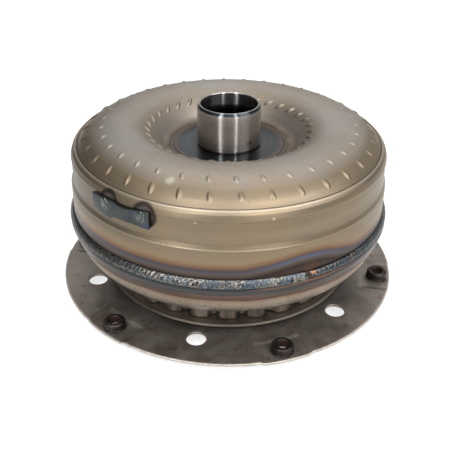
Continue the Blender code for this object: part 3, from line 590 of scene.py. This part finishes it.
# Painted shade: the bead turns near black towards -X.
painted_shade_left = add(tree, "MapRange", xyz[0], -0.125, -0.060, 0.9, 0.0)
bead = add(tree, "Mix", painted_shade_left, bead, "#151312", data_type="RGBA")
finish_surface(
    tree, shader, bead, 0.85, add(tree, "MapRange", fleck, 0.35, 0.65, 0.42, 0.24), fleck, 0.6, 0.0006)


def smooth_step(x):
    """3x^2 - 2x^3 on the clamped value."""
    x = np.clip(x, 0, 1)
    return x * x * (3 - 2 * x)


def bead_ring(name, middle, inner, outer, under, height, pitch, depth, lap=None):
    """A bead round the axis whose section is a half ellipse, its ripples crescents of `pitch` degrees.

    The height is lowered by depth * s^2 inside each ripple, with the ripple's edge bowed along
    the section. At `lap` degrees the bead ends on its own beginning: a swelling of
    0.5 exp(-(x/1.5)^2) just before it, a gap of 0.8 exp(-((x - 1.9)/1.1)^2) just after it, and a
    section that starts at 0.72 of its width and reaches 1 as 1 - 0.28 exp(-x/30).
    """
    count = 1080
    a = np.linspace(0, 360, count, endpoint=False)[:, None]
    t = np.linspace(0, np.pi, 15)[None, :]
    bow = 0.9 * pitch * np.sin(t)
    wander = 1 + 0.18 * np.sin(np.radians(a * 7 + 40 * np.sin(np.radians(3 * a))))
    saw = ((a + bow) / pitch + 0.25 * np.sin(np.radians(a * 5))) % 1
    rise = height * (0.93 + 0.07 * wander) - depth * saw**2
    width = 1 + 0 * a
    if lap is not None:
        past = (a - lap) % 360
        short = (past + 180) % 360 - 180
        rise = rise * (1 - 0.8 * np.exp(-((short - 1.9) / 1.1) ** 2)) + 0.5 * np.exp(-(short / 1.5) ** 2)
        width = 1 - 0.28 * np.exp(-past / 30) * smooth_step(past / 1.5)
    direction = (np.array(outer) - np.array(inner)) / 2
    normal = np.array(middle) / np.linalg.norm(middle)
    centre = (np.array(outer) + np.array(inner)) / 2
    r = centre[0] - np.cos(t) * width * direction[0] + np.sin(t) * rise * normal[0]
    z = centre[1] - np.cos(t) * width * direction[1] + np.sin(t) * rise * normal[1]
    r = np.hstack([r, np.full((count, 1), under[0])])
    z = np.hstack([z, np.full((count, 1), under[1])])
    return skin(name, round_axis(r, np.radians(a), z))


closing = bead_ring(
    "closure_weld_bead", (1.0, 0.50), (126.3, 75.7), (129.2, 69.9), (126.3, 70.8), 1.15, 1.5, 0.35, 24.6)
dress(closing, weld_metal, "housing", ["closure_weld"], sharp=50)
seam = bead_ring("hub_weld_bead", (0.0, 1.0), (43.7, 121.6), (46.6, 122.0), (45.2, 119.9), 0.5, 2.6, 0.06)
dress(seam, weld_metal, "housing", ["hub_weld"], sharp=50)
fillet = bead_ring("plate_weld_bead", (0.6, -1.0), (60.0, 8.0), (62.6, 9.4), (60.1, 9.4), 0.6, 2.2, 0.15)
dress(fillet, weld_metal, "housing", ["plate_weld"], sharp=50)

# ---------------------------------------------------------------------------
# Front cover. Deep-drawn steel with a scalloped drum that carries the clutch
# plates; its wall flares out to the closing weld and is browned by its heat.
# ---------------------------------------------------------------------------
LOBES = 27
LOBE_PHASE = 0.2
VALLEY_DEPTH = 6.2


def lobe_share(angle, flank):
    """1 on a lobe, 0 in a valley: tanh(flank (cos + 0.70)), which makes lobes wider than valleys."""
    wave = np.cos(np.radians((angle - LOBE_PHASE) * LOBES)) + 0.70
    return 0.5 + 0.5 * np.tanh(flank * wave) / np.tanh(flank * 1.70)


def drum(path, weights, count):
    """Turn a path whose radius is pulled in by weight * (1 - lobe_share) millimetres."""
    a = np.linspace(0, 360, count, endpoint=False)[:, None]
    share = np.clip(lobe_share(a, 2.4), 0, 1)
    bulge = 0.9 * np.cos(np.radians((a - LOBE_PHASE) * LOBES)).clip(0, 1)
    r = path[:, 0] - weights * (1 - share) + np.where(
        weights > 0, bulge - 0.7, 0) * (weights / VALLEY_DEPTH)
    return round_axis(r, np.radians(a), path[:, 1])


COVER_OUTSIDE = rounded(
    [
        (126.9, 69.9, 0), (129.3, 69.9, 0.5), (129.35, 66.5, 3), (127.0, 59.2, 20), (121.4, 46.6, 14),
        (115.6, 40.6, 6), (108.0, 38.7, 8), (98.8, 38.4, 1.5), (96.2, 35.6, 1.5), (97.2, 20.4, 0)],
    6)
COVER_FOOT = rounded([(97.2, 20.4, 0), (97.2, 18.8, 1.2), (92.0, 18.8, 0)], 10)
COVER_INSIDE = rounded(
    [
        (92.0, 22.0, 0), (93.3, 22.0, 1.0), (93.3, 38.2, 1.0), (95.6, 41.3, 1.0), (110.6, 42.0, 6),
        (118.0, 46.9, 6), (123.4, 58.0, 20), (126.0, 65.9, 3), (126.9, 66.2, 0.2), (126.9, 69.9, 0)],
    8)
outer = np.vstack([spread(COVER_OUTSIDE, 2.6), COVER_FOOT[1:]])
outer_weight = VALLEY_DEPTH * np.clip((38.2 - outer[:, 1]) / 2.2, 0, 1) ** 1.2 * (outer[:, 0] < 99)
floor_under = np.array([
    (70.0, 18.8), (40.0, 18.8), (16.0, 18.8), (0.0, 18.8), (0.0, 22.0), (16.0, 22.0), (40.0, 22.0),
    (75.0, 22.0)])
inner_weight = 6.3 * np.clip((41.2 - COVER_INSIDE[:, 1]) / 2.4, 0, 1) * (COVER_INSIDE[:, 0] < 96)

# The same sheet steel, drawn deeper: pale and satin where clean, then brown, dark and blue-grey
# towards the weld, and rubbed smoother on the lobes.
cover_steel, tree, shader = new_material("deep_drawn_steel_weld_browned")
where, xyz, radius, heading = place(tree)
fine = turned_marks(tree, heading, radius, xyz[2], 0.8)
cloud = add(tree, "TexNoise", where, 1000 / 22.0, 4.0)
streak = add(tree, "TexNoise", heading, 1000 / 260.0, 5.0)
drop = add(tree, "Math", xyz[2], add(tree, "Math", streak, 0.0025, operation="MULTIPLY"), operation="ADD")
wall_tint = add(
    tree, "ValToRGB", add(tree, "MapRange", drop, 0.0370, 0.0715),
    stops=[
        (0.0, "#5d554c"), (0.12, "#6e655b"), (0.34, "#a19689"), (0.52, "#b0a292"), (0.62, "#9d8c7b"),
        (0.655, "#80604c"), (0.685, "#57402f"), (0.72, "#584b42"), (0.80, "#4a4541"), (0.90, "#414243"),
        (1.0, "#1d2022")])
singed = add(tree, "MapRange", turned_marks(tree, heading, radius, xyz[2], 2.6, 1.2), 0.48, 0.62)
singed = add(
    tree, "Math", singed, add(tree, "MapRange", xyz[2], 0.0600, 0.0625, 0.0, 0.6), operation="MULTIPLY")
wall_tint = add(tree, "Mix", singed, wall_tint, "#2f2a29", data_type="RGBA")
seared = add(tree, "MapRange", turned_marks(tree, heading, radius, xyz[2], 1.9, 1.6), 0.56, 0.66)
seared = add(
    tree, "Math", seared, add(tree, "MapRange", xyz[2], 0.0595, 0.0620, 0.0, 0.6), operation="MULTIPLY")
wall_tint = add(tree, "Mix", seared, wall_tint, "#7a5a48", data_type="RGBA")
body_tint = add(
    tree, "Mix", add(tree, "MapRange", cloud, 0.35, 0.65), "#625a52", "#80776e", data_type="RGBA")
tint = add(
    tree, "Mix", add(tree, "MapRange", xyz[2], 0.0372, 0.0392), body_tint, wall_tint, data_type="RGBA")
specks = add(tree, "MapRange", add(tree, "TexNoise", where, 1000 / 3.0, 3.0), 0.60, 0.72, 0.0, 0.6)
specks = add(
    tree, "Math", specks, add(tree, "MapRange", xyz[2], 0.0375, 0.0400, 0.25, 1.0), operation="MULTIPLY")
tint = add(tree, "Mix", specks, tint, "#4b3b33", data_type="RGBA")
# Painted shade: dark at the bottom of the valleys between the lobes, next to the drive ring.
foot = add(
    tree, "Math", add(tree, "MapRange", xyz[2], 0.0188, 0.0206, 0.8, 0.0),
    add(tree, "MapRange", radius, 0.0960, 0.0925), operation="MULTIPLY")
tint = add(tree, "Mix", foot, tint, "#2d2a27", data_type="RGBA")
polish = add(tree, "MapRange", xyz[2], 0.0350, 0.0390, 0.07, 0.0)
rough = add(tree, "Math", add(tree, "MapRange", cloud, 0.3, 0.7, 0.34, 0.46), polish, operation="SUBTRACT")
relief = add(tree, "Math", fine, add(tree, "Math", cloud, 0.4, operation="MULTIPLY"), operation="ADD")
relief = add(
    tree, "Math", relief, add(tree, "MapRange", xyz[2], 0.0380, 0.0400, 0.15, 1.0), operation="MULTIPLY")
finish_surface(tree, shader, tint, 0.9, rough, relief, 0.08, 0.0004)

section = np.vstack([outer, floor_under, COVER_INSIDE])
weights = np.concatenate([outer_weight, np.zeros(len(floor_under)), inner_weight])
weights[len(outer) - len(COVER_FOOT) + 1:len(outer)] = VALLEY_DEPTH
cover = skin("front_cover_drawn", drum(section, weights, LOBES * 28))
dress(cover, cover_steel, "housing", ["front_cover"], sharp=40)

# ---------------------------------------------------------------------------
# Drive ring, pilot and other turned steel under the drum. The ring's shelf
# shows beyond the lobes, dark with a brighter turned edge.
# ---------------------------------------------------------------------------
# Turned steel under old oil: a dim, even grey-brown with fine lathe grooves.
ring_steel, tree, shader = new_material("turned_steel_oil_darkened")
where, xyz, radius, heading = place(tree)
groove = turned_marks(tree, heading, radius, xyz[2], 0.6)
edge = add(
    tree, "Math", add(tree, "MapRange", radius, 0.1008, 0.1016),
    add(tree, "MapRange", xyz[2], 0.0165, 0.0172), operation="MULTIPLY")
dark = add(
    tree, "Mix", add(tree, "MapRange", add(tree, "TexNoise", where, 1000 / 12.0, 4.0), 0.35, 0.65),
    "#6e655b", "#857b70", data_type="RGBA")
dark = add(tree, "Mix", edge, dark, "#655f57", data_type="RGBA")
# Painted shade: near black below 15.6 mm, on the step and the foot under the ring's flange.
dark = add(
    tree, "Mix", add(tree, "MapRange", xyz[2], 0.0140, 0.0156, 0.85, 0.0), dark, "#211f1d",
    data_type="RGBA")
bright = add(tree, "MapRange", radius, 0.0530, 0.0560, 1.0, 0.0)
dark = add(tree, "Mix", bright, dark, "#8b8883", data_type="RGBA")
finish_surface(
    tree, shader, dark, 0.9, add(tree, "MapRange", groove, 0.3, 0.7, 0.38, 0.50), groove, 0.15, 0.0002)

RING_PATH = rounded(
    [
        (56.0, 8.2, 0.4), (59.4, 8.2, 0.4), (59.4, 12.25, 0.2), (91.0, 12.25, 0.4), (92.2, 14.6, 1.0),
        (93.8, 15.5, 0.6), (102.1, 15.5, 0.4), (102.6, 16.0, 0.3), (102.6, 17.2, 0.5), (101.4, 18.0, 0.8),
        (97.6, 18.5, 1.0), (56.0, 18.5, 0.4), (56.0, 8.2, 0)],
    15)
ring = skin("drive_ring_turned", turn(spread(RING_PATH, 6.0), 432))
dress(ring, ring_steel, "housing", ["drive_ring"])

PILOT_PATH = rounded(
    [
        (13.0, 0.0, 0.4), (19.6, 0.0, 0.3), (21.0, 1.5, 0.4), (21.0, 9.0, 0), (20.6, 9.4, 0.1),
        (20.6, 10.6, 0.1), (21.0, 11.0, 0), (21.0, 13.6, 1.2), (33.0, 15.0, 0.4), (33.0, 18.5, 0.3),
        (13.0, 18.5, 0.4), (13.0, 0.0, 0)],
    15)
nose = skin("pilot_turned", turn(spread(PILOT_PATH, 3.0), 192))
dress(nose, ring_steel, "housing", ["pilot"])

# ---------------------------------------------------------------------------
# Flexplate. Blanked 2.2 mm sheet steel, dark with oil and iron oxide; six pads
# pressed down at the rim, six access holes with rolled edges, bright rim.
# ---------------------------------------------------------------------------
PAD_ANGLE = 18.3
HOLE_ANGLE = -11.7
PLATE_R = 139.8
PLATE_THICK = 2.2
HOLE_CIRCLE_R = 113.5
NUT_CIRCLE_R = 128.8


def plate_height(x, y):
    """Height change of the plate's top in millimetres at points in millimetres.

    Down by 1.2 on the pads, with a smooth step 3.6 mm wide at each side and 5 mm at the inner
    end, a 0.35 mm swage along each side, and a 0.10 mm lip across the inner end.
    """
    r = np.hypot(x, y)
    a = np.degrees(np.arctan2(x, -y))
    off = (a - PAD_ANGLE + 30) % 60 - 30
    side = abs(off) * np.pi / 180 * r
    inward = smooth_step((r - 115.6) / 5.0)
    pad = smooth_step((20.5 - side) / 3.6) * inward
    swage = 0.35 * np.exp(-((side - 22.6) / 1.6) ** 2) * inward
    lip = 0.10 * np.exp(-((r - 113.0) / 3.2) ** 2) * smooth_step((19.0 - side) / 5)
    return -1.2 * pad + swage + lip


def strip(first, second):
    """Quads between two closed rings of as many point numbers, each joined to the next."""
    return np.stack([first, np.roll(first, -1), np.roll(second, -1), second], axis=1)


def disc_mesh(name, outer, inner, holes, top, thick, rows, columns):
    """A round sheet with round holes, edges rounded, closed, as one mesh.

    A polar grid has a rectangle of cells left out round each hole, and a fan of rings joins
    the rectangle's border to the hole: each ring is the border pulled towards the hole's
    circle, (1 - s) * border + s * circle. The underside is the same sheet lower down, and
    quarter-round rims (r changes by c sin t, z by c (1 - cos t)) join the two.
    """
    radii = np.concatenate([[inner], np.linspace(inner, outer, rows + 1)[1:]])
    step = 360 / columns
    points, quads = [], []
    blocked = np.zeros((rows, columns), bool)
    spans = []
    for angle, radius, hole in holes:
        column = int(round(angle / step))
        wide = int(np.ceil(np.degrees((hole + 2.2) / radius) / step))
        row = [
            int(np.searchsorted(radii, radius - hole - 2.0)) - 1,
            int(np.searchsorted(radii, radius + hole + 2.0))]
        spans.append((column - wide, column + wide, row[0], row[1]))
        for c in range(column - wide, column + wide):
            blocked[row[0]:row[1], c % columns] = True
    grid = np.arange((rows + 1) * columns).reshape(rows + 1, columns)
    a = np.radians(np.arange(columns) * step)
    flat = np.stack([radii[:, None] * np.sin(a), -radii[:, None] * np.cos(a)], axis=2).reshape(-1, 2)
    r, c = np.nonzero(~blocked)
    n = (c + 1) % columns
    quads.append(np.stack([grid[r, c], grid[r, n], grid[r + 1, n], grid[r + 1, c]], axis=1))
    rims = [(grid[rows], "out"), (grid[0][::-1], "in")]
    total = len(flat)
    sheets = [flat]
    for (c0, c1, r0, r1), (angle, radius, hole) in zip(spans, holes):
        cols = [k % columns for k in range(c0, c1 + 1)]
        border = [grid[r0, k] for k in cols] + [grid[k, cols[-1]] for k in range(r0 + 1, r1 + 1)]
        border += [grid[r1, k] for k in cols[-2::-1]] + [grid[k, cols[0]] for k in range(r1 - 1, r0, -1)]
        border = np.array(border)
        edge = flat[border]
        middle = radius * np.array([math.sin(math.radians(angle)), -math.cos(math.radians(angle))])
        away = edge - middle
        turn_angle = np.unwrap(np.arctan2(away[:, 1], away[:, 0]))
        even = turn_angle[0] + np.sign(turn_angle[-1] - turn_angle[0]) * np.linspace(
            0, 2 * np.pi, len(border), endpoint=False)
        target = 0.5 * turn_angle + 0.5 * even
        circle = middle + hole * np.stack([np.cos(target), np.sin(target)], axis=1)
        last = border
        for share in (0.45, 0.78, 1.0):
            new = total + np.arange(len(border))
            sheets.append((1 - share) * edge + share * circle)
            quads.append(strip(last, new))
            total += len(border)
            last = new
        rims.append((last[::-1], middle))
    flat = np.vstack(sheets)
    lift = plate_height(flat[:, 0], flat[:, 1])
    upper = np.column_stack([flat, top + lift])
    lower = np.column_stack([flat, top - thick + lift])
    quads = np.vstack(quads)
    faces = [quads, quads[:, ::-1] + total]
    vertices = [upper, lower]
    count = 2 * total
    corner = 0.5
    for rim, kind in rims:
        base = flat[rim]
        if isinstance(kind, str):
            out = base / np.linalg.norm(base, axis=1, keepdims=True) * (1 if kind == "out" else -1)
        else:
            out = (kind - base) / np.linalg.norm(kind - base, axis=1, keepdims=True)
        level = upper[rim, 2]
        previous = rim
        for t in (30, 60, 90, -90, -60, -30):
            s, k = math.sin(math.radians(abs(t))), math.cos(math.radians(t))
            z = level - corner * (1 - k) if t > 0 else level - thick + corner * (1 - k)
            new = count + np.arange(len(rim))
            vertices.append(np.column_stack([base + out * corner * s, z]))
            faces.append(strip(previous, new)[:, ::-1])
            count += len(rim)
            previous = new
        faces.append(strip(previous, rim + total)[:, ::-1])
    mesh = bpy.data.meshes.new(name)
    mesh.from_pydata(np.vstack(vertices) * MM, [], np.vstack(faces).tolist())
    bm = bmesh.new()
    bm.from_mesh(mesh)
    bmesh.ops.recalc_face_normals(bm, faces=bm.faces)
    bm.to_mesh(mesh)
    bm.free()
    made = bpy.data.objects.new(name, mesh)
    bpy.context.scene.collection.objects.link(made)
    return made


# Cold-rolled sheet, blanked and pressed: matt and mottled, bright only where the rim is worn, and with
# painted shade under the drive ring.
plate_steel, tree, shader = new_material("blanked_sheet_steel_oiled")
where, _, radius, _ = place(tree)
grain = add(tree, "TexNoise", where, 1000 / 2.4, 4.0, 0.65)
cloud = add(tree, "TexNoise", where, 1000 / 26.0, 5.0, 0.6)
dull = add(tree, "Mix", add(tree, "MapRange", cloud, 0.34, 0.66), "#67605a", "#857e77", data_type="RGBA")
dull = add(
    tree, "Mix", add(tree, "MapRange", grain, 0.58, 0.70, 0.0, 0.5), dull, "#88827a", data_type="RGBA")
dull = add(
    tree, "Mix",
    add(tree, "MapRange", add(tree, "TexNoise", where, 1000 / 7.0, 4.0), 0.60, 0.70, 0.0, 0.55), dull,
    "#5a3f31", data_type="RGBA")
worn = add(
    tree, "Math", add(tree, "MapRange", radius, 0.1383, 0.1394),
    add(tree, "MapRange", grain, 0.30, 0.55, 0.35, 0.95), operation="MULTIPLY")
dull = add(tree, "Mix", worn, dull, "#b3ada5", data_type="RGBA")
# Painted shade: dark on the plate under the drive ring, fading out under its flange.
painted_shade_under_ring = add(tree, "MapRange", radius, 0.0925, 0.1005, 0.8, 0.0)
dull = add(tree, "Mix", painted_shade_under_ring, dull, "#26221f", data_type="RGBA")
rough = add(tree, "MapRange", cloud, 0.3, 0.7, 0.36, 0.52)
finish_surface(
    tree, shader, dull, 0.85, rough, add(tree, "Math", grain, cloud, operation="ADD"), 0.18, 0.0004)

sites = [(HOLE_ANGLE + 60 * k, HOLE_CIRCLE_R, 8.0) for k in range(6)]
sites += [(PAD_ANGLE + 60 * k, NUT_CIRCLE_R, 4.8) for k in range(6)]
plate = disc_mesh("flexplate_blanked", PLATE_R - 0.5, 60.5, sites, 12.0, PLATE_THICK, 64, 720)
dress(plate, plate_steel, "housing", ["flexplate"], sharp=50)

# ---------------------------------------------------------------------------
# Weld nuts. Six turned round nuts on the pads, with a chamfered rim, a
# threaded bore and a ring of weld at the foot; dark, with rust in the thread.
# ---------------------------------------------------------------------------
# Plain turned steel, oil-blackened outside, which reads almost black, with brown rust where the
# tap cut through to bare metal.
nut_steel, tree, shader = new_material("turned_nut_steel_rusting")
in_thread = add(tree, "Attribute", out="Fac", attribute_name="thread")
where = place(tree)[0]
speck = add(tree, "TexNoise", where, 1000 / 1.6, 4.0, 0.6)
cloud = add(tree, "TexNoise", where, 1000 / 7.0, 3.0)
tone = add(tree, "Mix", add(tree, "MapRange", cloud, 0.35, 0.65), "#1d1b1a", "#302c2a", data_type="RGBA")
tone = add(
    tree, "Mix", add(tree, "MapRange", speck, 0.55, 0.66, 0.0, 0.8), tone, "#45301f", data_type="RGBA")
tone = add(
    tree, "Mix", in_thread, tone,
    add(tree, "Mix", add(tree, "MapRange", speck, 0.40, 0.60), "#1b1412", "#3a261d", data_type="RGBA"),
    data_type="RGBA")
dull_thread = add(tree, "Math", in_thread, 0.3, operation="MULTIPLY")
rough = add(
    tree, "Math", add(tree, "MapRange", speck, 0.35, 0.65, 0.32, 0.55), dull_thread, operation="ADD")
finish_surface(tree, shader, tone, 0.8, rough, speck, 0.3, 0.0003)


NUT_BORE_R = 4.2
THREAD_PITCH = 1.5


def threaded_nut(angle):
    """One nut: a turned section, its bore's radius waved as a helix, 0.38 (1 - cos(z / pitch - a)) / 2."""
    section = rounded(
        [
            (NUT_BORE_R, 16.4, 0), (5.1, 17.2, 0.3), (7.2, 17.2, 0.4), (8.3, 16.2, 0.6), (8.3, 12.3, 0.4),
            (9.0, 11.25, 0.3), (8.0, 11.1, 0.2), (NUT_BORE_R, 11.1, 0)],
        15)
    bore = np.column_stack([np.full(29, NUT_BORE_R), np.linspace(11.1, 16.4, 29)])
    path = np.vstack([section, bore[1:-1]])
    count = 96
    a = np.linspace(0, 2 * np.pi, count, endpoint=False)[:, None]
    in_bore = path[:, 0] < NUT_BORE_R + 0.1
    wave = 0.38 * (0.5 - 0.5 * np.cos(2 * np.pi * (path[:, 1] / THREAD_PITCH - a / (2 * np.pi))))
    r = path[:, 0] + np.where(in_bore, wave, 0)
    middle = NUT_CIRCLE_R * np.array([math.sin(math.radians(angle)), -math.cos(math.radians(angle))])
    return MM * np.stack([middle[0] + r * np.cos(a), middle[1] + r * np.sin(a), path[:, 1] + 0 * r], axis=2)


for k in range(6):
    grid = threaded_nut(PAD_ANGLE + 60 * k)
    nut = skin(f"weld_nut_{k + 1}_threaded", grid)
    middle = np.array(at_angle(NUT_CIRCLE_R * MM, PAD_ANGLE + 60 * k, 0))[:2]
    from_axis = np.linalg.norm(grid[:, :, :2] - middle, axis=2).ravel()
    thread = nut.data.attributes.new("thread", "FLOAT", "POINT")
    thread.data.foreach_set("value", (from_axis < 0.00465).astype(np.float32))
    dress(nut, nut_steel, "housing", [f"weld_nut_{k + 1}"])

# ---------------------------------------------------------------------------
# Balance strap. A blued spring-steel bar, two pads and a narrower bridge, bent
# to the wall and held by a plug weld in each pad; each nugget has a small
# crater under it.
# ---------------------------------------------------------------------------
# Heat-blued strip: nearly black with a cold sheen, paler round each plug weld.
strap_steel, tree, shader = new_material("blued_strip_steel")
where, xyz, radius, heading = place(tree)
mottle = add(tree, "TexNoise", where, 1000 / 5.0, 4.0)
rolled = turned_marks(tree, heading, radius, xyz[2], 0.5, 1.0)
blue = add(tree, "Mix", add(tree, "MapRange", mottle, 0.36, 0.64), "#272c2d", "#3e413f", data_type="RGBA")
blue = add(
    tree, "Mix",
    add(tree, "MapRange", add(tree, "TexNoise", where, 1000 / 9.0, 3.0), 0.48, 0.62, 0.0, 0.7), blue,
    "#393d4c", data_type="RGBA")
for pad in STRAP_PADS:
    glow = near(tree, where, at_angle(0.1274, pad, STRAP_WELD_Z), 0.0040, 0.0064)
    blue = tinted(tree, blue, "#484b45", glow, 0.7)
# Painted shade: the half of the strap next to the wall is near black.
side = add(tree, "MapRange", radius, 0.1262, 0.1272, 0.85, 0.0)
blue = add(tree, "Mix", side, blue, "#1d1a1a", data_type="RGBA")
rough = add(tree, "MapRange", mottle, 0.3, 0.7, 0.34, 0.48)
finish_surface(
    tree, shader, blue, 0.85, rough, add(tree, "Math", rolled, mottle, operation="ADD"), 0.15, 0.0003)


def strap_grid():
    """The bar as sections along its angle: a rectangle with 0.6 mm rounded edges.

    Top and bottom follow blended steps (3x^2 - 2x^3) from pad to bridge, and the last
    0.6 mm at each end closes in on a quarter circle.
    """
    corner, thick, inner = 0.6, 2.6, 124.8
    first, last = -48.8, -24.8
    closing = np.degrees(corner * (1 - np.cos(np.radians([0, 30, 60, 90]))) / 126)
    angles = np.concatenate([
        first + closing, np.linspace(first + 0.6, last - 0.6, 90), (last - closing)[::-1]])
    shrink = np.concatenate([corner * (1 - np.sin(np.radians([0, 30, 60, 90]))), np.zeros(90),
                             corner * (1 - np.sin(np.radians([90, 60, 30, 0])))])
    lobe = smooth_step((angles + 48.2) / 6.0) * smooth_step((-38.2 - angles) / 2.2)
    top = 6.0 + 0.9 * smooth_step((angles + 30.5) / 4.0)
    top = top - 1.0 * smooth_step((angles + 39.5) / 3.0) * smooth_step((-30.5 - angles) / 3.0)
    low = -5.5 - 2.4 * lobe - 0.6 * smooth_step((angles + 29.5) / 3.0)
    t = np.radians(np.arange(0, 91, 22.5))
    out, up = [], []
    for sr, sz, start in ((1, 1, 0), (-1, 1, 90), (-1, -1, 180), (1, -1, 270)):
        out.append(np.where(sr > 0, thick - corner, corner) + corner * np.cos(np.radians(start) + t))
        up.append(np.stack([np.full(5, sz), np.sin(np.radians(start) + t) - sz]))
    out = np.concatenate(out)
    up = np.concatenate(up, axis=1)
    level = np.where(
        up[0] > 0, top[:, None] - shrink[:, None], low[:, None] + shrink[:, None]) + corner * up[1]
    r = inner + thick / 2 + (out - thick / 2) * (1 - shrink[:, None] / 1.4)
    return round_axis(r, np.radians(angles)[:, None], 1000 * STRAP_MIDDLE_Z + level)


strap = skin("balance_strap_bar", strap_grid().transpose(1, 0, 2), True, False, True)
dress(strap, strap_steel, "housing", ["balance_strap"], sharp=60)

# Weld metal that set on its own: smooth and glossy, in dark cold greys.
nugget_steel, tree, shader = new_material("plug_weld_nugget")
where = place(tree)[0]
speck = add(tree, "TexNoise", where, 1000 / 1.4, 3.0)
tone = add(tree, "Mix", add(tree, "MapRange", speck, 0.40, 0.62), "#343b3d", "#5b615f", data_type="RGBA")
finish_surface(tree, shader, tone, 0.9, 0.20, speck, 0.05, 0.0002)


def nugget(angle):
    """A plug weld lying on the strap: a low dome with a wavy rim and a crater near its lower edge."""
    t = np.linspace(0, 2 * np.pi, 48, endpoint=False)[:, None]
    share = np.array([0, 0.2, 0.4, 0.6, 0.75, 0.88, 0.97, 1.0])[None, :]
    edge = 4.2 * (1 + 0.05 * np.sin(3 * t + angle) + 0.03 * np.sin(5 * t))
    across = edge * share * np.cos(t) * 0.86
    upward = edge * share * np.sin(t)
    crater = 1.0 * np.exp(-((across - 0.3) ** 2 + (upward + 2.5) ** 2) / 0.9)
    rise = 1.15 * np.sqrt(np.clip(1 - share**2.4, 0, 1)) + 0 * t - crater - 0.05
    rise = rise + 0.04 * np.sin(2.1 * across + angle) * (1 - share)
    across, upward, rise = (
        np.hstack([m, m[:, -1:] * k]) for m, k in ((across, 1.0), (upward, 1.0), (rise, 0)))
    rise[:, -1] = -0.7
    a = math.radians(angle)
    r = 127.35 + rise
    z = 1000 * STRAP_WELD_Z + upward
    return MM * np.stack(
        [r * math.sin(a) + across * math.cos(a), -r * math.cos(a) + across * math.sin(a), z], axis=2)


for k, pad in enumerate(STRAP_PADS):
    dome = nugget(pad)
    back = dome[:, -1:].mean(axis=0, keepdims=True) + 0 * dome[:, -1:]
    dome = np.concatenate([dome, back], axis=1)
    plug = joined(f"strap_plug_weld_{k + 1}", [dome])
    dress(plug, nugget_steel, "housing", [f"strap_weld_{k + 1}"], sharp=60)

# ---------------------------------------------------------------------------
# Inner pieces: turbine, damper, clutch, stator and bearings, hidden by the
# housing. Each group has the finish that its part is made with.
# ---------------------------------------------------------------------------
INNER = {
    "blade_steel": ("brazed_blade_steel", "#8d8069", "#a4977d", 0.90, 0.34, 0.46, 14.0, 0.8),
    "clutch_steel": ("ground_clutch_steel", "#7c7d80", "#9a9a9a", 1.00, 0.24, 0.34, 9.0, 0.5),
    "turned_steel": ("bright_turned_steel", "#8a8883", "#a29f99", 1.00, 0.22, 0.32, 11.0, 0.5),
    "lining": ("paper_friction_lining", "#5b4630", "#6f5840", 0.00, 0.78, 0.92, 3.0, 0.7),
    "spring_steel": ("shot_peened_spring_steel", "#4b4d52", "#62646a", 0.95, 0.34, 0.44, 4.0, 0.6),
    "rivet_steel": ("upset_rivet_steel", "#77736c", "#908b82", 0.95, 0.30, 0.42, 5.0, 0.6),
    "piston_steel": ("pressed_piston_steel", "#80786c", "#99907f", 0.95, 0.30, 0.40, 16.0, 0.7),
    "seal_rubber": ("moulded_seal_rubber", "#151515", "#222221", 0.00, 0.55, 0.70, 5.0, 0.6),
    "stator_alloy": ("die_cast_aluminium", "#a5a7a8", "#bfc0bf", 0.95, 0.42, 0.56, 6.0, 0.9),
    "race_steel": ("ground_race_steel", "#8f9092", "#a9aaab", 1.00, 0.16, 0.24, 12.0, 0.35),
    "bearing_steel": ("polished_bearing_steel", "#96979a", "#b2b3b4", 1.00, 0.14, 0.22, 8.0, 0.3),
    "side_plate_bronze": ("sintered_bronze", "#8d6a3c", "#a6824f", 0.95, 0.34, 0.46, 2.5, 0.6),
}


def finish_of(name, low, high, metal, smoothest, roughest, patch, marks):
    """Two close tones in patches `patch` mm wide, with marks `marks` mm apart in the bump.

    Roughness goes from `smoothest` to `roughest`, which gives the eye a satin, matt or bright face.
    """
    made, tree, shader = new_material(name)
    where, xyz, radius, heading = place(tree)
    cloud = add(tree, "TexNoise", where, 1000 / patch, 4.0)
    fine = turned_marks(tree, heading, radius, xyz[2], marks)
    tone = add(tree, "Mix", add(tree, "MapRange", cloud, 0.36, 0.64), low, high, data_type="RGBA")
    tone = add(tree, "Mix", add(tree, "MapRange", fine, 0.55, 0.75, 0.0, 0.3), tone, low, data_type="RGBA")
    rough = add(tree, "MapRange", cloud, 0.3, 0.7, smoothest, roughest)
    finish_surface(
        tree, shader, tone, metal, rough, add(tree, "Math", fine, cloud, operation="ADD"), 0.12, 0.0003)
    return made


finishes = {slot: finish_of(*values) for slot, values in INNER.items()}
slot_of = {part["node"]: part["material_slot"] for part in frame["record"]["subparts"]}
for name, piece in frame["nodes"].items():
    if piece.hide_render:
        continue
    for place_of in piece.material_slots:
        place_of.material = finishes[slot_of[name]]
